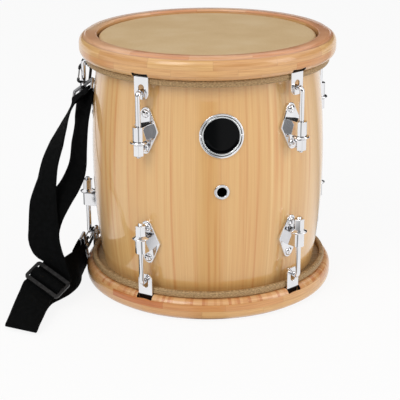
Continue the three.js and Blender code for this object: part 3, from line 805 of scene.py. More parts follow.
@dataclass(frozen=True)
class Rawhide:
    """Dry skin: smooth and faintly cloudy on the head, fibrous and darker where it wraps the flesh hoop."""

    wrap_from: float = 0.1385
    cloud_scale: float = 22.0
    fibre_scale: float = 700.0
    strand: Point = (60.0, 900.0)
    clouds: Rows = ((0.3, 206, 172, 120), (0.5, 212, 180, 130), (0.7, 217, 188, 142))
    fibres: Rows = ((0.3, 120, 90, 60), (0.7, 255, 240, 215))
    strands: Rows = ((0.25, 104, 78, 46), (0.5, 166, 134, 92), (0.78, 212, 184, 138))

    def material(self) -> Material:
        """Builds the material.

        Returns:
            The material.
        """
        board = board_for("rawhide")
        where, x, y, z = board.place()
        wrap = board.over(board.square(x, y), self.wrap_from**2)
        cloud = board.noise(where, self.cloud_scale, 5.0)
        fibre = board.noise(where, self.fibre_scale, 4.0)
        across, up = self.strand
        strand = board.vector(board.times(board.azimuth(x, y), across), 0.0, board.times(z, up))
        strand = board.noise(strand, 1.0, 5.0)
        flat = board.mix(0.12, board.ramp(cloud, self.clouds), board.ramp(fibre, self.fibres))
        colour = board.mix(wrap, flat, board.ramp(strand, self.strands))
        board.relief(board.plus(board.times(fibre, 0.25), board.times(strand, wrap)), 0.35, 0.0006)
        return board.finish(Base_Color=colour, Roughness=0.5, Specular_IOR_Level=0.4)


@dataclass(frozen=True)
class Polished:
    """Bright metal with faint smears in its polish."""

    name: str = "chrome"
    colour: tuple[int, int, int] = (238, 238, 240)
    roughness: float = 0.07
    smear_scale: float = 60.0
    grain_scale: float = 900.0
    dimmed: float = 0.93

    def material(self) -> Material:
        """Builds the material.

        Returns:
            The material.
        """
        board = board_for(self.name)
        where = board.place()[0]
        smear = board.noise(where, self.smear_scale, 4.0)
        bright = tone(*self.colour)
        colour = board.gradient(smear, [(0.3, *(c * self.dimmed for c in bright)), (0.7, *bright)])
        board.relief(board.noise(where, self.grain_scale, 2.0), 0.02, 0.0002)
        rough = board.spread(smear, self.roughness * 0.7, self.roughness * 1.5)
        return board.finish(Base_Color=colour, Metallic=1.0, Roughness=rough)


@dataclass(frozen=True)
class Satin:
    """Painted metal or moulded plastic with a fine skin and lighter worn patches."""

    name: str
    colour: tuple[int, int, int]
    worn: tuple[int, int, int]
    roughness: float
    metallic: float = 0.0
    gloss: float = 0.3
    patch_scale: float = 240.0
    skin_scale: float = 2600.0

    def material(self) -> Material:
        """Builds the material.

        Returns:
            The material.
        """
        board = board_for(self.name)
        where = board.place()[0]
        patch = board.noise(where, self.patch_scale, 5.0)
        colour = board.ramp(patch, ((0.45, *self.colour), (0.8, *self.worn)))
        rough = board.spread(patch, self.roughness * 0.85, self.roughness * 1.2)
        board.relief(board.noise(where, self.skin_scale, 2.0), 0.12, 0.0002)
        return board.finish(
            Base_Color=colour, Roughness=rough, Metallic=self.metallic, Specular_IOR_Level=self.gloss
        )


@dataclass(frozen=True)
class BadgeEnamel:
    """Gloss black enamel inside bright rings, with painted shade as dark grey metal in the groove between
    them.
    """

    black: float = 0.0220
    thin_ring: float = 0.0240
    groove: float = 0.0248
    scale: float = 30.0
    # The dark grey between thin_ring and groove is painted shade on the groove's floor; the other greys are
    # the badge's own colours.
    greys: Rows = ((4, 5, 6), (236, 238, 238), (60, 60, 60), (236, 236, 238))

    def material(self) -> Material:
        """Builds the material.

        Returns:
            The material.
        """
        board = board_for("badge_enamel")
        where, x, _, z = board.place()
        up = board.minus(z, (PLAN.half + Badge.height) * METRES)
        radius = board.times(board.maths("SQRT", board.square(x, up)), self.scale)
        marks = [edge * self.scale for edge in (0.0, self.black, self.thin_ring, self.groove)]
        colour = board.ramp(radius, [(mark, *grey) for mark, grey in zip(marks, self.greys)], True)
        metal = board.gradient(radius, [(mark, *[float(mark > 0)] * 3) for mark in marks], True)
        rough = board.spread(board.noise(where, 500.0, 3.0), 0.1, 0.2)
        return board.finish(Base_Color=colour, Metallic=metal, Roughness=rough, Specular_IOR_Level=0.1)


@dataclass(frozen=True)
class WovenNylon:
    """Black webbing: ribs across the band, tight yarns along it and smooth edges."""

    rib: float = 0.0016
    yarn: float = 0.0013
    yarn_lean: float = 900.0
    edge_from: float = 0.0205

    def material(self) -> Material:
        """Builds the material.

        Returns:
            The material.
        """
        board = board_for("woven_nylon")
        uv = board.node("ShaderNodeUVMap", uv_map="weave").outputs[0]
        across, along, _ = board.node("ShaderNodeSeparateXYZ", {0: uv}).outputs
        ribs = board.maths("SINE", board.times(along, math.tau / self.rib))
        lean = board.plus(board.times(across, math.tau / self.yarn), board.times(along, self.yarn_lean))
        weave = board.times(ribs, board.maths("SINE", lean))
        edge = board.under(board.maths("ABSOLUTE", across), self.edge_from)
        height = board.times(board.plus(weave, board.times(ribs, 0.5)), edge)
        colour = board.ramp(board.noise(uv, 160.0, 4.0), ((0.3, 9, 10, 10), (0.75, 19, 20, 21)))
        # Painted shade: the weave's low places are darkened and its ribs stay bright.
        painted_weave_shade = board.ramp(height, ((0.2, 120, 120, 120), (0.9, 255, 255, 255)))
        board.relief(height, 0.5, 0.0003)
        return board.finish(
            Base_Color=board.mix(0.6, colour, painted_weave_shade, "MULTIPLY"), Roughness=0.8, Specular_IOR_Level=0.05
        )


@dataclass
class Wardrobe:
    """Every finish on the drum, each built once."""

    made: dict[str, Material] = field(default_factory=dict)

    def __post_init__(self) -> None:
        """Builds the finishes."""
        finishes = {
            "stave": StaveWood(),
            "hoop": HoopWood(),
            "rawhide": Rawhide(),
            "chrome": Polished(),
            "ring": Polished("ring_nickel", (176, 176, 178), 0.16),
            "steel": Polished("plain_steel", (170, 170, 168), 0.3),
            "nickel": Polished("vent_nickel", (226, 226, 228), 0.1),
            "wire": Polished("gate_wire", (150, 150, 152), 0.25),
            "badge": BadgeEnamel(),
            "black": Satin("black_metal", (10, 10, 10), (26, 26, 26), 0.3, metallic=0.2),
            "plastic": Satin("slider_plastic", (30, 29, 29), (48, 47, 47), 0.36),
            "thread": Satin("strap_thread", (24, 24, 26), (40, 40, 42), 0.7, gloss=0.05),
            "webbing": WovenNylon(),
        }
        self.made = {name: finish.material() for name, finish in finishes.items()}


@dataclass
class Workshop:
    """Turns meshes into finished pieces that ride on the frame."""

    wardrobe: Wardrobe

    def finish(
        self,
        name: str,
        bm: Mesh,
        dress: str,
        body: str,
        slot: str,
        replaces: Sequence[str] = (),
        place: Matrix | None = None,
        sharp: float = 50,
        weigh: bool = True,
    ) -> None:
        """Makes one piece of the drum.

        Args:
            name: The piece's name.
            bm: Its mesh in millimetres, which is used up.
            dress: Its finish.
            body: The frame body that it rides on.
            slot: The record's slot named for the piece; not used.
            replaces: The frame's nodes that it stands for.
            place: Where its own axes lie on the drum.
            sharp: The angle in degrees over which an edge stays sharp.
            weigh: Whether large faces keep their shading flat.
        """
        obj = as_object(name, moved(bm, Matrix.Scale(METRES, 4) @ (place or Matrix.Identity(4))))
        mesh = obj.data
        mesh.shade_smooth()
        mesh.set_sharp_from_angle(angle=math.radians(sharp))
        mesh.materials.append(self.wardrobe.made[dress])
        if weigh:
            obj.modifiers.new("even_shading", "WEIGHTED_NORMAL").keep_sharp = True
        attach(obj, body)
        if replaces:
            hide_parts(*replaces)
        LOG.info("%s: %d faces on %s", name, len(mesh.polygons), body)


@dataclass
class Shell:
    """The barrel of staves with its air hole and grommet."""

    shop: Workshop
    edge_round: float = 3.0
    edge_bevel: float = 4.0
    vent_bore: float = 7.0
    vent_radius: float = 6.0
    tube_wall: float = 0.8
    tube_overhang: float = 1.5
    flange_radius: float = 9.5
    flange: float = 1.5
    flange_round: float = 0.9
    lip_round: float = 0.7

    def barrel_line(self, outwards: float, steps: int = 48) -> list[Point]:
        """The barrel's side, moved out by a distance.

        Args:
            outwards: The distance.
            steps: How many stretches the side has.

        Returns:
            Its (radius, height) points.
        """
        reach = PLAN.shell_half - self.edge_round
        heights = [reach * (2 * i / steps - 1) for i in range(steps + 1)]
        return [(PLAN.barrel(h) + outwards, h) for h in heights]

    def build_barrel(self) -> None:
        """Builds the shell and bores its air hole."""
        outer = self.barrel_line(0)
        inner = self.barrel_line(-PLAN.wall)[::-1]
        radius, height = outer[-1]
        crest = radius - self.edge_round
        bevel = PLAN.shell_half - self.edge_bevel
        profile = [
            *arc(crest, -height, self.edge_round, -90, 0, 5)[:-1],
            *outer,
            *arc(crest, height, self.edge_round, 0, 90, 5)[1:],
            (inner[0][0], bevel),
            *inner[1:-1],
            (inner[0][0], -bevel),
        ]
        bore = bmesh.new()
        size = {"segments": 48, "radius1": self.vent_bore, "radius2": self.vent_bore, "depth": 40}
        turn = shift(y=-PLAN.mid_radius) @ turned(90, "X")
        bmesh.ops.create_cone(bore, cap_ends=True, matrix=turn, **size)
        made = carve(lathe(profile, 180), bore)
        self.shop.finish(
            "shell_staves", made, "stave", "shell_assembly", "shell_wood", ["shell"], PLAN.middle, 40, False
        )

    def build_vent(self) -> None:
        """Builds the flanged tube that lines the air hole."""
        seat = PLAN.mid_radius + 0.1
        inside = PLAN.mid_radius - PLAN.wall - self.tube_overhang
        tube = self.vent_radius + self.tube_wall
        swell, lip = self.flange_round, self.lip_round
        profile = [
            (self.vent_radius, inside),
            (tube, inside),
            (tube, seat),
            (self.flange_radius, seat),
            *arc(self.flange_radius - swell, seat + self.flange - swell, swell, 0, 90, 6),
            *arc(self.vent_radius + lip, seat + self.flange - lip, lip, 90, 180, 5),
        ]
        made = lathe(profile, 64)
        place = PLAN.middle @ turned(90, "X")
        node = ["vent_grommet"]
        self.shop.finish("vent_ring", made, "nickel", "shell_assembly", "vent_metal", node, place)

    def build(self) -> None:
        """Builds the shell and its grommet."""
        self.build_barrel()
        self.build_vent()


@dataclass
class Badge:
    """A round badge bent to the shell, with raised rings and a bare black middle."""

    shop: Workshop
    radius: float = 27.25
    thickness: float = 2.0
    height: float = 69.9
    face_depth: float = 0.8
    pin_inset: float = 2.6
    pin_radius: float = 1.0
    pin_length: float = 7.0
    pin_head: float = 1.9

    def build_plate(self) -> None:
        """Builds the badge from a turned section and bends it to the shell."""
        top = self.thickness
        face = top - self.face_depth
        middle = face - 0.1
        profile = [
            (0, 0.1),
            (self.radius, 0.1),
            *arc(self.radius - 0.7, top - 0.7, 0.7, 0, 90, 4),
            *arc(25.4, top - 0.5, 0.6, 90, 180, 3, 0.5),
            (24.7, face),
            (24.1, face),
            *arc(23.5, face + 0.05, 0.5, 0, 90, 3),
            *arc(22.7, face + 0.05, 0.5, 90, 180, 3),
            *[(radius, middle) for radius in (22.1, 16, 9, 0)],
        ]
        made = moved(lathe(profile, 120, closed=False), turned(90, "X"))
        for vert in made.verts:
            lift = -vert.co.y
            vert.co.z += self.height
            PLAN.bend([vert], lift)
        self.shop.finish(
            "badge_disc", made, "badge", "shell_assembly", "badge_plate", ["badge"], PLAN.middle, 60, False
        )

    def build_pins(self) -> None:
        """Builds the two pins that hold the badge."""
        head, length = self.pin_head, self.pin_length
        stem = [(0, -length), (self.pin_radius, -length), (self.pin_radius, head)]
        profile = [*stem, *arc(0, head, head, 0, 90, 6, 1.3)]
        surface = PLAN.barrel(self.height)
        for name, side in (("left", -1), ("right", 1)):
            pin = moved(lathe(profile, 20, closed=False), turned(90, "X"))
            turn = side * math.asin((self.radius - self.pin_inset) / surface)
            place = PLAN.middle @ Matrix.Rotation(turn, 4, "Z") @ shift(0, -surface, self.height)
            node = f"badge_pin_{name}"
            self.shop.finish(f"badge_nail_{name}", pin, "chrome", "shell_assembly", "chrome", [node], place)

    def build(self) -> None:
        """Builds the badge and its pins."""
        self.build_plate()
        self.build_pins()


@dataclass
class DrumHead:
    """A skin over the shell's edge, wrapped round the flesh hoop."""

    shop: Workshop
    end: End
    hoop_radius: float = 155.5
    hoop_width: float = 3.2
    hoop_height: float = 5.5
    shell_round: float = 3.0
    tuck_depth: float = 2.0
    inner_fold: float = 2.0
    outer_fold: float = 2.6
    crest_fold: float = 2.4

    def build(self) -> None:
        """Builds the skin in one piece."""
        skin, gap, edge_round = PLAN.skin, PLAN.gap, self.shell_round
        wrap = skin + gap
        top = PLAN.hoop_foot - gap
        low = top - self.hoop_height - 2 * wrap
        outer = self.hoop_radius + wrap
        inner = self.hoop_radius - self.hoop_width - wrap
        height = PLAN.shell_half - edge_round
        flat = PLAN.barrel(height) - edge_round
        skirt = PLAN.barrel(top) + gap
        tuck = top - skin - self.tuck_depth
        fold, turn, crest = self.inner_fold, self.outer_fold, self.crest_fold
        profile = [
            (0, PLAN.half - skin),
            *arc(flat, height, edge_round + gap, 90, 0, 6),
            (skirt, top - skin),
            (outer - skin, top - skin),
            (outer - skin, low + skin),
            (inner + skin, low + skin),
            (inner + skin, tuck),
            *arc(inner + skin / 2, tuck, skin / 2, 0, 180, 4)[1:-1],
            (inner, tuck),
            *arc(inner + fold, low + fold, fold, 180, 270, 4),
            *arc(outer - turn, low + turn, turn, 270, 360, 6),
            *arc(outer - crest, top - crest, crest, 0, 90, 5),
            (skirt + skin, top),
            *arc(flat, height, edge_round + wrap, 0, 90, 6),
            *[(radius, PLAN.half) for radius in (120, 60, 0)],
        ]
        made = lathe(profile, 144, closed=False)
        name = self.end.value
        place = PLAN.half_place(self.end)
        self.shop.finish(
            f"{name}_skin", made, "rawhide", f"{name}_end", "rawhide", [f"{name}_head"], place, 60, False
        )


@dataclass
class WoodenHoop:
    """A laminated counter hoop with the slots that hold the claw plates."""

    shop: Workshop
    end: End
    radius: float = 165.0
    bore: float = 142.0
    crown: float = 12.0
    flank: float = 6.0
    flank_bulge: float = 8.0
    crown_bulge: float = 7.0
    crown_rise: float = 9.5
    bore_round: float = 2.5
    foot_bevel: float = 4.0
    slot_width: float = 21.4
    slot_relief: float = 3.8
    slot_depth: float = 12.9
    slot_fit: float = 0.3
    foot_reach: float = 9.5
    foot_room: float = 3.4
    claw_thickness: float = 2.6

    def profile(self) -> list[Point]:
        """The hoop's section.

        Returns:
            Its (radius, height) points.
        """
        low = PLAN.hoop_foot
        top = low + PLAN.hoop_height
        shoulder = top - self.crown
        flank = shoulder - self.flank
        side, crest, inner = self.flank_bulge, self.crown_bulge, self.bore_round
        return [
            (self.bore + self.foot_bevel, low),
            *arc(self.radius - side, flank, side, -90, 0, 9, flank - low),
            *arc(self.radius - crest, shoulder, crest, 0, 90, 10, self.crown_rise),
            (self.bore + 14.8, top - 1.1),
            (self.bore + 13.6, top),
            *arc(self.bore + inner, top - inner, inner, 90, 180, 6),
            (self.bore, low + 11),
        ]

    def slot(self, azimuth: float) -> Mesh:
        """The pocket for one claw plate.

        Args:
            azimuth: Where it lies round the hoop.

        Returns:
            The cutter.
        """
        low = PLAN.hoop_foot - 2
        high = PLAN.hoop_foot + self.slot_depth
        near = PLAN.claw_radius - self.slot_fit
        far = PLAN.claw_radius + self.claw_thickness + self.slot_relief
        parts = []
        for inside, outside, base in (
            (near, far, low),
            (near - self.foot_reach, near + 1, high - self.foot_room),
        ):
            box = bmesh.new()
            size = Matrix.Diagonal((self.slot_width, outside - inside, high - base, 1))
            place = shift(0, -(inside + outside) / 2, (base + high) / 2)
            bmesh.ops.create_cube(box, size=1, matrix=place @ size)
            parts.append(box)
        return moved(joined(parts), turned(self.end.sign * azimuth))

    def build(self) -> None:
        """Turns the hoop and cuts its slots."""
        made = lathe(self.profile(), 200)
        for azimuth in PLAN.azimuths:
            made = carve(made, self.slot(azimuth))
        name = self.end.value
        place = PLAN.half_place(self.end)
        self.shop.finish(
            f"{name}_hoop_ring", made, "hoop", f"{name}_end", "hoop_wood", [f"{name}_hoop"], place, 45, False
        )


@dataclass
class TuningStation:
    """One claw plate with its hooked rod, its nut and its lug."""

    shop: Workshop
    claw_width: float = 20.0
    claw_thickness: float = 2.6
    claw_drop: float = 27.0
    claw_rise: float = 2.7
    claw_bend: float = 2.3
    claw_foot: float = 9.0
    claw_corner: float = 8.0
    hole_radius: float = 4.0
    hole_height: float = 122.5
    hole_length: float = 4.5
    saddle: float = 122.0
    rod_tip: float = 41.7
    rod_bend: float = 4.5
    hook_bend: float = 4.0
    thread_steps: int = 44
    lug_height: float = 72.0
    lug_half_width: float = 18.0
    lug_thickness: float = 3.5
    ear_offset: float = 22.0
    ear_radius: float = 7.0
    dome_radius: float = 5.4
    sleeve_radius: float = 7.0
    sleeve_bore: float = 3.6
    sleeve_length: float = 18.0
    nut_top: float = 62.7
    nut_length: float = 18.0
    nut_radius: float = 6.9
    flange: float = 3.0

    def grow(self, bm: Mesh, face: bmesh.types.BMFace, reach: Point) -> None:
        """Draws a face out of a mesh.

        Args:
            bm: The mesh.
            face: The face.
            reach: How far it goes along Y and Z.
        """
        grown = bmesh.ops.extrude_face_region(bm, geom=[face])["geom"]
        if face.is_valid:
            bmesh.ops.delete(bm, geom=[face], context="FACES_ONLY")
        bmesh.ops.translate(bm, vec=(0, *reach), verts=verts_in(grown))

    def claw(self) -> Mesh:
        """A plate with a long hole, bent inwards at its top.

        Returns:
            The plate.
        """
        thick, corner = self.claw_thickness, self.claw_corner
        half = self.claw_width / 2
        low = PLAN.hoop_foot - self.claw_drop
        high = PLAN.hoop_foot + self.claw_rise
        outline = [
            (-half, high - thick),
            *arc(corner - half, low + corner, corner, 180, 270, 8),
            *arc(half - corner, low + corner, corner, 270, 360, 8),
            (half, high - thick),
        ]
        hole = [
            *arc(0, self.hole_height, self.hole_radius, 180, 360, 12),
            *arc(0, self.hole_height + self.hole_length, self.hole_radius, 0, 180, 12),
        ]
        outer = -PLAN.claw_radius - thick
        made = plate(outline, [hole], outer, -PLAN.claw_radius)
        self.grow(made, max(made.faces, key=lambda f: f.calc_center_median().z), (0, thick))
        block = [f for f in made.faces if f.calc_center_median().z > high - 0.75 * thick]
        self.grow(made, max(block, key=lambda f: f.normal.y), (self.claw_foot, 0))
        bmesh.ops.recalc_face_normals(made, faces=made.faces)
        top, front = high - 0.01, outer + 0.01
        crest = [e for e in made.edges if all(v.co.z > top and v.co.y < front for v in e.verts)]
        round_off(made, crest, self.claw_bend, 5)
        soften(made, 0.45)
        return made

    def rod(self) -> Mesh:
        """The hooked rod, threaded at its lower end.

        Returns:
            The rod.
        """
        bend, tip = self.rod_bend, self.hook_bend
        inner = PLAN.claw_radius - 0.5
        heights = [self.rod_tip, *[self.rod_tip + 0.4 + 0.5 * i for i in range(self.thread_steps)], 90.0]
        line = [
            *[(PLAN.rod_circle, height) for height in heights],
            *arc(PLAN.rod_circle - bend, self.saddle - bend, bend, 0, 90, 10),
            *arc(inner, self.saddle - tip, tip, 90, 180, 10),
            *[(inner - tip, self.saddle - tip - drop) for drop in (2.2, 2.8, 3.0)],
        ]
        sizes = [0.75] + [1.0 if i % 2 else 0.88 for i in range(self.thread_steps)]
        sizes += [1.0] * (len(line) - len(sizes) - 2) + [0.85, 0.6]
        return bar_along([Vector((0, -r, z)) for r, z in line], PLAN.rod_radius, 20, (1, 0), sizes)

    def nut(self) -> Mesh:
        """A hexagonal nut with a wide flange.

        Returns:
            The nut.
        """
        bore = PLAN.rod_radius + 0.4
        top = self.nut_top
        foot = top - self.flange
        low = top - self.nut_length
        flange = [
            (bore, foot - 2),
            (6.4, foot - 1.6),
            (7.2, foot - 0.4),
            (9.8, foot + 0.7),
            *arc(10.0, foot + 1.7, 0.7, -60, 60, 5),
            (9.9, top),
            (bore, top),
        ]
        body = plate(round_section(self.nut_radius, 6), [round_section(bore, 24)], low, foot)
        moved(body, turned(90, "X") @ Matrix.Scale(-1, 4, (0, 1, 0)))
        moved(body, shift(z=low - min(v.co.z for v in body.verts)))
        bmesh.ops.recalc_face_normals(body, faces=body.faces)
        soften(body, 0.6, 3)
        return moved(joined([lathe(flange, 56), body]), shift(y=-PLAN.rod_circle))

    def lug(self) -> Mesh:
        """A pointed plate with round ears, domed over its screws, an arm and a sleeve for the rod.

        Returns:
            The lug.
        """
        wide, ear, radius = self.lug_half_width, self.ear_offset, self.ear_radius
        start = math.degrees(math.acos(radius / math.hypot(wide, ear)) - math.atan2(ear, wide))
        outline = [
            (wide, 0),
            *arc(0, ear, radius, start, 180 - start, 14),
            (-wide, 0),
            *arc(0, -ear, radius, 180 + start, 360 - start, 14),
        ]
        base = plate(outline, [], -self.lug_thickness, 0)
        soften(base, 1.0, 3, 60)
        PLAN.lean(base, self.lug_height)
        PLAN.bend([v for v in base.verts if v.co.y > -PLAN.barrel(v.co.z) - 1.2], 0.05)
        domes = []
        for side in (-1, 1):
            profile = [(0, -1), (self.dome_radius, -1), *arc(0, 0, self.dome_radius, 0, 90, 8, 3.6)]
            place = shift(0, -3.4, side * (ear - 1)) @ turned(90, "X")
            domes.append(PLAN.lean(moved(lathe(profile, 32, closed=False), place), self.lug_height))
        root = PLAN.barrel(self.lug_height) + 0.5
        sleeve = self.sleeve_radius
        profile = [(-sleeve, -root), *arc(0, -PLAN.rod_circle, sleeve, 180, 360, 18), (sleeve, -root)]
        low = self.lug_height - self.sleeve_length / 2
        bore = arc(0, -PLAN.rod_circle, self.sleeve_bore, 0, 345, 23)
        arm = plate(profile, [bore], low, low + self.sleeve_length)
        moved(arm, Matrix(((1, 0, 0, 0), (0, 0, 1, 0), (0, 1, 0, 0), (0, 0, 0, 1))))
        bmesh.ops.recalc_face_normals(arm, faces=arm.faces)
        soften(arm, 0.9, 3)
        return joined([base, arm, *domes])

    def build(self) -> None:
        """Makes each piece and places it at every station of both ends."""
        kinds: tuple[tuple[Callable[[], Mesh], str, str, str], ...] = (
            (self.claw, "claw", "{end}_end", "claw_plate"),
            (self.rod, "tension_hook", "{end}_end", "hooked_rod"),
            (self.nut, "tuning_nut", "{end}_nut_{i}", "flange_nut"),
            (self.lug, "lug", "shell_assembly", "lug_casting"),
        )
        for end in End:
            for i, azimuth in enumerate(PLAN.azimuths, 1):
                for make, node, riding, name in kinds:
                    body = riding.format(end=end.value, i=i)
                    piece, replaced = f"{end.value}_{name}_{i}", [f"{end.value}_{node}_{i}"]
                    place = PLAN.station(end, azimuth)
                    self.shop.finish(piece, make(), "chrome", body, "chrome", replaced, place)


@dataclass(frozen=True)
class SnapPlace:
    """Where a snap hook hangs on the strap's rods, with its turns in degrees."""

    turn: float
    swing: float
    lean: float
    along: float
    inward: float
    height: float
    eye_turn: float

    def hang(self) -> Matrix:
        """The hook's place on the drum.

        Returns:
            The place.
        """
        spot = shift(self.along, self.inward - PLAN.rod_circle, self.height)
        turns = turned(self.turn) @ turned(self.swing, "X") @ turned(self.lean, "Y")
        return turned(PLAN.azimuths[-1]) @ spot @ turns

    def eye(self) -> Matrix:
        """The place of the ring that turns on the hook's stem."""
        return self.hang() @ shift(y=SnapHook.pitch / 2 - SnapHook.reach) @ turned(self.eye_turn)


@dataclass
class SnapHook:
    """A snap hook with its wire gate and the ring on its stem."""

    shop: Workshop
    places: dict[End, SnapPlace] = field(
        default_factory=lambda: {
            End.UPPER: SnapPlace(15.3, -7.8, -40.3, -0.5, 3.7, 268.1, 26.0),
            End.LOWER: SnapPlace(97.8, -65.6, 13.4, 5.6, 3.8, 36.3, 88.7),
        }
    )
    bar: float = 4.0
    pitch: float = 15.0
    reach: float = 9.6
    top: float = 13.0
    base: float = 15.0
    corner: float = 3.0
    nose: float = 3.0
    wire: float = 0.9
    hinge: float = -12.0
    gate_half: float = 3.2
    boss_length: float = 5.0
    ring_inner: float = 47.0
    ring_height: float = 8.0
    ring_bar: float = 3.5
    fit: float = 0.3
    slack: float = 0.12

    @property
    def ring_top(self) -> float:
        """The height of the ring's upper edge."""
        return -self.base - self.bar / 2 - self.fit

    @property
    def window(self) -> float:
        """The height of the upper edge of the ring's window."""
        return self.ring_top - self.boss_length

    def hook(self) -> Mesh:
        """The bar from the nose round to the hinge's ear, with its stem.

        Returns:
            The hook.
        """
        gate, corner = -self.reach, self.corner
        spine = gate + self.pitch
        middle = (gate + spine) / 2
        arch = self.pitch / 2
        low = corner - self.base
        line = [
            *[(gate, self.nose + rise) for rise in (0, 0.4, 1.2)],
            *arc(middle, self.top - arch, arch, 180, 0, 22),
            *arc(spine - corner, low, corner, 0, -90, 6),
            *arc(gate + corner, low, corner, -90, -180, 6),
            *[(gate, height) for height in (-10.2, -9.7, -9.5)],
        ]
        sizes = [0.6, 0.85, 1.0] + [1.0] * (len(line) - 6) + [1.0, 0.9, 0.7]
        points = [Vector((0, y, z)) for y, z in line]
        bar = bar_along(points, self.bar / 2 - self.slack, 18, (1, 0), sizes)
        head = self.window - self.fit
        profile = [
            (0, head - 2),
            (2.6, head - 2),
            *arc(2.8, head - 1.2, 0.6, -60, 90, 4),
            (2, head),
            (2, -self.base - 1.5),
            (3.2, -self.base - 1),
            (3.2, -self.base + 0.5),
            (0, -self.base + 0.5),
        ]
        return joined([bar, moved(lathe(profile, 28, closed=False), shift(y=middle))])

    def gate(self) -> Mesh:
        """One bent wire that closes the hook.

        Returns:
            The wire.
        """
        hinge, legs = self.hinge, self.gate_half
        top = self.nose - self.fit - self.wire
        neck = 0.7 * (top - hinge) + hinge
        half = [(0.4, hinge), (1.4, hinge), (legs - 0.4, hinge + 0.1), (legs, hinge + 0.7), (legs, -7.0)]
        half += [(legs, neck), (2.1, neck + 2.4), (1.2, top - 0.6), (0.6, top - 0.1)]
        line = half + [(0, top)] + [(-x, z) for x, z in reversed(half)]
        points = smooth_run([Vector((x, -self.reach, z)) for x, z in line], 3)
        return bar_along(points, self.wire, 12, (0, 1))

    def ring(self) -> Mesh:
        """The flat ring that takes the webbing, with the boss that turns on the stem.

        Returns:
            The ring.
        """
        high, window, thick = self.ring_top, self.window, self.ring_bar
        inner = self.ring_inner / 2
        outline = rounded(inner + thick, window - self.ring_height - thick, high, 3.0)
        hole = rounded(inner, window - self.ring_height, window, 1.6)
        frame = plate(outline, [hole], -thick / 2, thick / 2)
        soften(frame, 1.1, 3)
        boss = [
            (2.3, window + 0.1),
            (3.6, window + 0.1),
            (4.5, window + 0.9),
            (4.5, high - 0.7),
            (3.9, high),
            (2.3, high),
        ]
        return joined([frame, lathe(boss, 32)])

    def build(self) -> None:
        """Builds both hooks."""
        for end, spot in self.places.items():
            name = end.value
            kinds = (
                ("hook_bar", self.hook(), "black", f"{name}_hook", "black_metal", "snap_hook", spot.hang()),
                ("gate_wire", self.gate(), "wire", f"{name}_gate", "gate_wire", "snap_gate", spot.hang()),
                ("ring_frame", self.ring(), "ring", "strap", "ring_metal", "strap_ring", spot.eye()),
            )
            for piece, made, dress, body, slot, node, place in kinds:
                self.shop.finish(f"{name}_{piece}", made, dress, body, slot, [f"{name}_{node}"], place)


def as_places(rows: Rows) -> list[tuple[Vector, Vector]]:
    """Rows of six numbers as places and width directions."""
    return [(Vector(row[:3]), Vector(row[3:])) for row in rows]


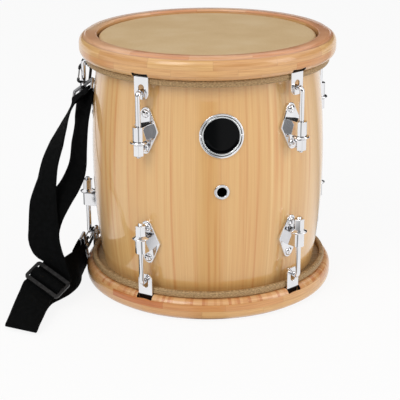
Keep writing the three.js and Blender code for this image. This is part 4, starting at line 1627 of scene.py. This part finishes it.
@dataclass
class Strap:
    """The webbing, its slider and its stitches."""

    shop: Workshop
    hooks: SnapHook
    width: float = 45.0
    thickness: float = 1.6
    sewn: float = 21.0
    lead: float = 12.0
    upper_inner_lead: float = 22.0
    upper_outer_lead: float = 8.0
    stitch_pitch: float = 3.2
    stitch_size: tuple[float, ...] = (1.25, 0.3, 0.3, 1)
    slider_at: Vector = field(default_factory=lambda: Vector((-216.6, -89.9, 32)))
    slider_across: Vector = field(default_factory=lambda: Vector((0.751, -0.501, -0.43)))
    slider_up: Vector = field(default_factory=lambda: Vector((0.657, 0.631, 0.412)))
    slider_half: float = 27.0
    slider_height: float = 15.0
    slider_corner: float = 5.0
    slider_thickness: float = 3.0
    slot_half: float = 23.2
    slot_span: Point = (2.5, 10.0)
    tail: Rows = (
        (-177.4, -8.5, 19.5, 0.18, 0.29, -0.94),
        (-183.5, -23.9, 18, 0.39, 0.12, -0.91),
        (-192.2, -40.1, 16.4, 0.55, -0.06, -0.83),
        (-204.3, -59, 15.2, 0.65, -0.23, -0.73),
        (-217.1, -75.7, 15, 0.7, -0.38, -0.61),
        (-228.7, -90.6, 13.5, 0.76, -0.49, -0.43),
        (-236.6, -107.9, 9.5, 0.82, -0.51, -0.25),
        (-241.6, -127.4, 5, 0.85, -0.52, -0.1),
        (-246.2, -147.1, 1.5, 0.85, -0.52, 0),
        (-248.7, -157.9, -0.8, 0.85, -0.52, 0),
        (-250, -163.3, -0.4, 0.85, -0.52, 0),
        (-250, -164.3, 2, 0.85, -0.52, 0),
        (-248.4, -160.9, 4.6, 0.85, -0.52, 0),
        (-244.9, -149.2, 8, 0.85, -0.52, -0.02),
        (-239.7, -132.7, 13.5, 0.85, -0.52, -0.1),
        (-233.4, -116.2, 20, 0.82, -0.52, -0.25),
    )
    upward: Rows = (
        (-208.2, -80.2, 48, 0.83, -0.49, -0.25),
        (-214, -76.5, 60, 0.89, -0.46, 0),
        (-219, -70, 76, 0.9, -0.43, 0.1),
        (-219, -58.7, 95, 0.87, -0.49, 0.03),
        (-218.5, -39, 118, 0.78, -0.62, 0.03),
        (-213.3, -19.5, 141, 0.54, -0.84, 0.06),
        (-208.2, -7.2, 163, 0.45, -0.89, 0.06),
        (-198.7, 2, 186, 0.37, -0.92, 0.12),
        (-190.8, 8.2, 204, 0.25, -0.93, 0.25),
        (-184.6, 13.5, 219, 0.25, -0.8, 0.52),
        (-174.7, 21.4, 232, 0.34, -0.71, 0.61),
    )
    back: Rows = (
        (-165.3, 12.5, 209, 0.39, -0.87, 0.31),
        (-169.4, 4.8, 183, 0.43, -0.9, 0.1),
        (-173, -7.6, 156, 0.48, -0.88, 0.05),
        (-184, -24.3, 136, 0.6, -0.79, 0.1),
        (-202.5, -41.5, 117, 0.78, -0.62, 0.03),
        (-216.5, -51.1, 95, 0.87, -0.49, 0),
        (-220, -61.5, 74, 0.89, -0.45, 0.05),
        (-212.5, -69.6, 57, 0.88, -0.47, -0.1),
    )
    over: Rows = (
        *((-20, -1.8), (-15.5, -2.9), (-10, -2.9), (-8.2, -2.2), (-5.6, 3.6), (-3.8, 4.7), (3, 4.7)),
        *((4.2, 3.6), (8, -2.6), (10, -2.9), (15.5, -2.9), (17.6, -1.6), (18.4, 2)),
    )
    under: Rows = (
        *((21, -1), (15.5, -5.2), (9, -5.4), (3.8, -3.2), (2.5, -2.6)),
        *((-2.5, -2.6), (-3.6, -1.5), (-3.6, 1.5), (-2.5, 2.6), (2, 2.6)),
    )

    def slider_axes(self) -> tuple[Vector, Vector, Vector]:
        """The slider's own directions.

        Returns:
            Those across it, up it and out of its front.
        """
        across = self.slider_across.normalized()
        front = across.cross(self.slider_up).normalized()
        return across, front.cross(across), front

    def on_slider(self, line: Rows) -> list[tuple[Vector, Vector]]:
        """Places of the webbing in the slider, and its width's direction."""
        across, up, front = self.slider_axes()
        return [(self.slider_at + up * high + front * out, across) for high, out in line]

    @property
    def loop_height(self) -> float:
        """The height of the ring's lower bar in the ring's own axes."""
        return self.hooks.window - self.hooks.ring_height - self.hooks.ring_bar / 2

    @property
    def loop_radius(self) -> float:
        """How far the webbing's middle is from the ring bar's middle."""
        return self.hooks.ring_bar * math.sqrt(0.5) + self.hooks.fit + self.thickness / 2

    def round_ring(self, end: End, before: float, after: float) -> list[tuple[Vector, Vector]]:
        """The webbing round a ring's bar.

        Args:
            end: Which ring.
            before, after: The straight webbing on each side of the bar.

        Returns:
            Places and width directions.
        """
        eye = self.hooks.places[end].eye()
        width = eye.to_3x3().col[0].copy()
        radius = self.loop_radius
        line = [(radius, -before), *arc(0, 0, radius, 0, 180, 6), (-radius, -after)]
        return [(eye @ Vector((0, x, self.loop_height + y)), width) for x, y in line]

    def route(self) -> tuple[list[Vector], list[Vector]]:
        """The webbing's whole middle line.

        Returns:
            Its points and its width directions.
        """
        run = [
            *self.round_ring(End.LOWER, self.sewn, self.lead),
            *as_places(self.tail),
            *self.on_slider(self.over),
            *as_places(self.upward),
            *self.round_ring(End.UPPER, self.upper_inner_lead, self.upper_outer_lead)[::-1],
            *as_places(self.back),
            *self.on_slider(self.under),
        ]
        return [p for p, _ in run], [w.normalized() for _, w in run]

    def build_webbing(self) -> None:
        """Draws the band along its route and gives it the weave's map."""
        line, sides = (smooth_run(run, 4) for run in self.route())
        half, deep = self.width / 2, self.thickness / 2
        steps = [-half + 0.5, -half * 0.6, -half * 0.2, half * 0.2, half * 0.6, half - 0.5]
        section = [(x, -deep) for x in steps] + [(half, -deep * 0.4), (half, deep * 0.4)]
        section += [(x, deep) for x in reversed(steps)] + [(-half, deep * 0.4), (-half, -deep * 0.4)]
        made = sweep(section, frames_along(line, sides))
        weave = made.loops.layers.uv.new("weave")
        across, along = (made.verts.layers.float[name] for name in ("across", "along"))
        for face in made.faces:
            for loop in face.loops:
                loop[weave].uv = (loop.vert[across] * METRES, loop.vert[along] * METRES)
        self.shop.finish(
            "strap_band", made, "webbing", "strap", "webbing", ["strap_webbing"], sharp=70, weigh=False
        )

    def build_stitches(self) -> None:
        """Sews the doubled end below the lower ring with a crossed square."""
        top = self.loop_height - 5
        low = self.loop_height - self.sewn + 3
        half = self.width / 2 - 4
        lift = self.loop_radius + self.thickness / 2
        square = ((-half, top), (half, top), (half, low), (-half, low))
        corners = [Vector((x, 0, z)) for x, z in square]
        runs = [*zip(corners, corners[1:] + corners[:1]), (corners[0], corners[2]), (corners[1], corners[3])]
        parts = []
        for start, stop in runs:
            count = max(int((stop - start).length / self.stitch_pitch), 2)
            turn = (stop - start).to_track_quat("X", "Z").to_matrix().to_4x4()
            for i in range(count):
                x, _, z = start.lerp(stop, (i + 0.5) / count)
                place = shift(x, lift, z) @ turn @ Matrix.Diagonal(self.stitch_size)
                stitch = bmesh.new()
                bmesh.ops.create_uvsphere(stitch, u_segments=8, v_segments=6, radius=1, matrix=place)
                parts.append(stitch)
        eye = self.hooks.places[End.LOWER].eye()
        self.shop.finish("strap_stitches", joined(parts), "thread", "strap", "webbing", (), eye, 80, False)

    def build_slider(self) -> None:
        """Builds the slider buckle."""
        near, far = self.slot_span
        slots = [rounded(self.slot_half, low, high, 1.0) for low, high in ((-far, -near), (near, far))]
        outline = rounded(self.slider_half, -self.slider_height, self.slider_height, self.slider_corner)
        made = plate(outline, slots, -self.slider_thickness / 2, self.slider_thickness / 2)
        soften(made, 0.55)
        across, up, front = self.slider_axes()
        place = Matrix.Translation(self.slider_at) @ Matrix((across, -front, up)).transposed().to_4x4()
        node = ["slider_buckle"]
        self.shop.finish("slider_frame", made, "plastic", "strap", "slider_plastic", node, place)

    def build(self) -> None:
        """Builds the webbing, its stitches and the slider."""
        self.build_webbing()
        self.build_stitches()
        self.build_slider()


@dataclass
class Studio:
    """The pale floor, the soft light and the camera."""

    eye: Vector = field(default_factory=lambda: Vector((-171.3, -1527.4, 645.5)))
    aim: Vector = field(default_factory=lambda: Vector((-10.6, 1.1, 99.6)))
    roll: float = -0.0052
    lens: float = 108.97
    floor_height: float = -4.0
    floor_half: float = 20.0
    floor_glow: float = 0.88
    sky_light: float = 0.62
    lamp_aim: Vector = field(default_factory=lambda: Vector((0, 0, 0.16)))
    sectors: Rows = (
        *((0.0, 0.2), (0.03, 0.2), (0.05, 1.0), (0.27, 1.0), (0.295, 0.06), (0.345, 0.06)),
        *((0.37, 1.0), (0.63, 1.0), (0.66, 0.3), (0.7, 1.0), (0.985, 1.0), (1.0, 0.2)),
    )
    wall: Rows = ((0.0, 1.0), (0.04, 1.0), (0.1, 0.03), (0.48, 0.03), (0.56, 1.0), (0.93, 1.0), (0.97, 0.25))

    def build_camera(self) -> None:
        """Sets the camera at the picture's place."""
        data = bpy.data.cameras.new("camera")
        data.lens = self.lens
        data.sensor_width = 36
        data.clip_end = 50
        camera = bpy.data.objects.new("camera", data)
        bpy.context.scene.collection.objects.link(camera)
        turn = (self.aim - self.eye).to_track_quat("-Z", "Y").to_matrix().to_4x4()
        spot = Matrix.Translation(self.eye * METRES)
        camera.matrix_world = spot @ turn @ Matrix.Rotation(self.roll, 4, "Z")
        bpy.context.scene.camera = camera

    def build_floor(self) -> None:
        """Lays the floor, which shows white, keeps the drum's shadow and is partly dark for mirrors."""
        bm = bmesh.new()
        bmesh.ops.create_grid(bm, x_segments=2, y_segments=2, size=self.floor_half)
        floor = as_object("floor", moved(bm, shift(z=self.floor_height * METRES)))
        board = NodeBoard(bpy.data.materials.new("floor_white"), bare=True)
        _, x, y, _ = board.place()
        angle = board.maths("ARCTAN2", x, y)
        around = board.node("ShaderNodeMapRange", {0: angle, 1: -math.pi, 2: math.pi}).outputs[0]
        matt = board.node("ShaderNodeBsdfDiffuse", {0: (0.86, 0.86, 0.86, 1)})
        glow = board.node("ShaderNodeEmission", {0: board.mirrored(around, self.sectors), 1: 1.0})
        share = board.times(board.shown(), self.floor_glow)
        blend = board.node("ShaderNodeMixShader", {0: share, 1: matt.outputs[0], 2: glow.outputs[0]})
        board.node("ShaderNodeOutputMaterial", {0: blend.outputs[0]})
        floor.data.materials.append(board.owner)

    def build_world(self) -> None:
        """Lights the drum evenly before a white background, with a dark wall that only mirrors see."""
        world = bpy.data.worlds.new("studio")
        bpy.context.scene.world = world
        board = NodeBoard(world, bare=True)
        where = board.node("ShaderNodeTexCoord").outputs["Generated"]
        height = board.node("ShaderNodeSeparateXYZ", {0: where}).outputs[2]
        soft = board.node("ShaderNodeBackground", {0: (1, 1, 1, 1), 1: self.sky_light})
        white = board.node("ShaderNodeBackground", {0: board.mirrored(height, self.wall), 1: 1.0})
        sides = {0: board.shown(), 1: soft.outputs[0], 2: white.outputs[0]}
        blend = board.node("ShaderNodeMixShader", sides)
        board.node("ShaderNodeOutputWorld", {0: blend.outputs[0]})

    def build_lamp(self, name: str, at: tuple[float, float, float], size: float, power: float) -> None:
        """Hangs one soft lamp that faces the drum's middle.

        Args:
            name: The lamp's name.
            at: Where it hangs, in metres.
            size: Its width in metres.
            power: Its power in watts.
        """
        data = bpy.data.lights.new(name, "AREA")
        data.shape = "RECTANGLE"
        data.size = size
        data.size_y = size * 1.6
        data.energy = power
        lamp = bpy.data.objects.new(name, data)
        bpy.context.scene.collection.objects.link(lamp)
        turn = (self.lamp_aim - Vector(at)).to_track_quat("-Z", "Y").to_matrix().to_4x4()
        lamp.matrix_world = Matrix.Translation(at) @ turn

    def build(self) -> None:
        """Builds the whole studio."""
        bpy.context.scene.view_settings.view_transform = "Standard"
        self.build_camera()
        self.build_floor()
        self.build_world()
        self.build_lamp("key_lamp", (-1.3, -1.5, 1.9), 1.0, 22)
        self.build_lamp("side_lamp", (1.6, -0.9, 0.9), 0.8, 10)


def dress_left_over(wardrobe: Wardrobe, nodes: dict[str, bpy.types.Object]) -> None:
    """Gives the frame's remaining nodes their finish.

    Args:
        wardrobe: The finishes.
        nodes: The frame's nodes by name.
    """
    for end in End:
        node = nodes[f"{end.value}_flesh_hoop"]
        node.data.materials.clear()
        node.data.materials.append(wardrobe.made["steel"])
        LOG.info("%s keeps its frame shape", node.name)


def main() -> None:
    """Builds the drum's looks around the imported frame, class by class."""
    logging.basicConfig(level=logging.INFO, format="%(message)s")
    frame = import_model()
    wardrobe = Wardrobe()
    shop = Workshop(wardrobe)
    Studio().build()
    Shell(shop).build()
    Badge(shop).build()
    for end in End:
        DrumHead(shop, end).build()
        WoodenHoop(shop, end).build()
    TuningStation(shop).build()
    hooks = SnapHook(shop)
    hooks.build()
    Strap(shop, hooks).build()
    dress_left_over(wardrobe, frame["nodes"])
    bpy.context.view_layer.update()


if __name__ == "__main__":
    main()
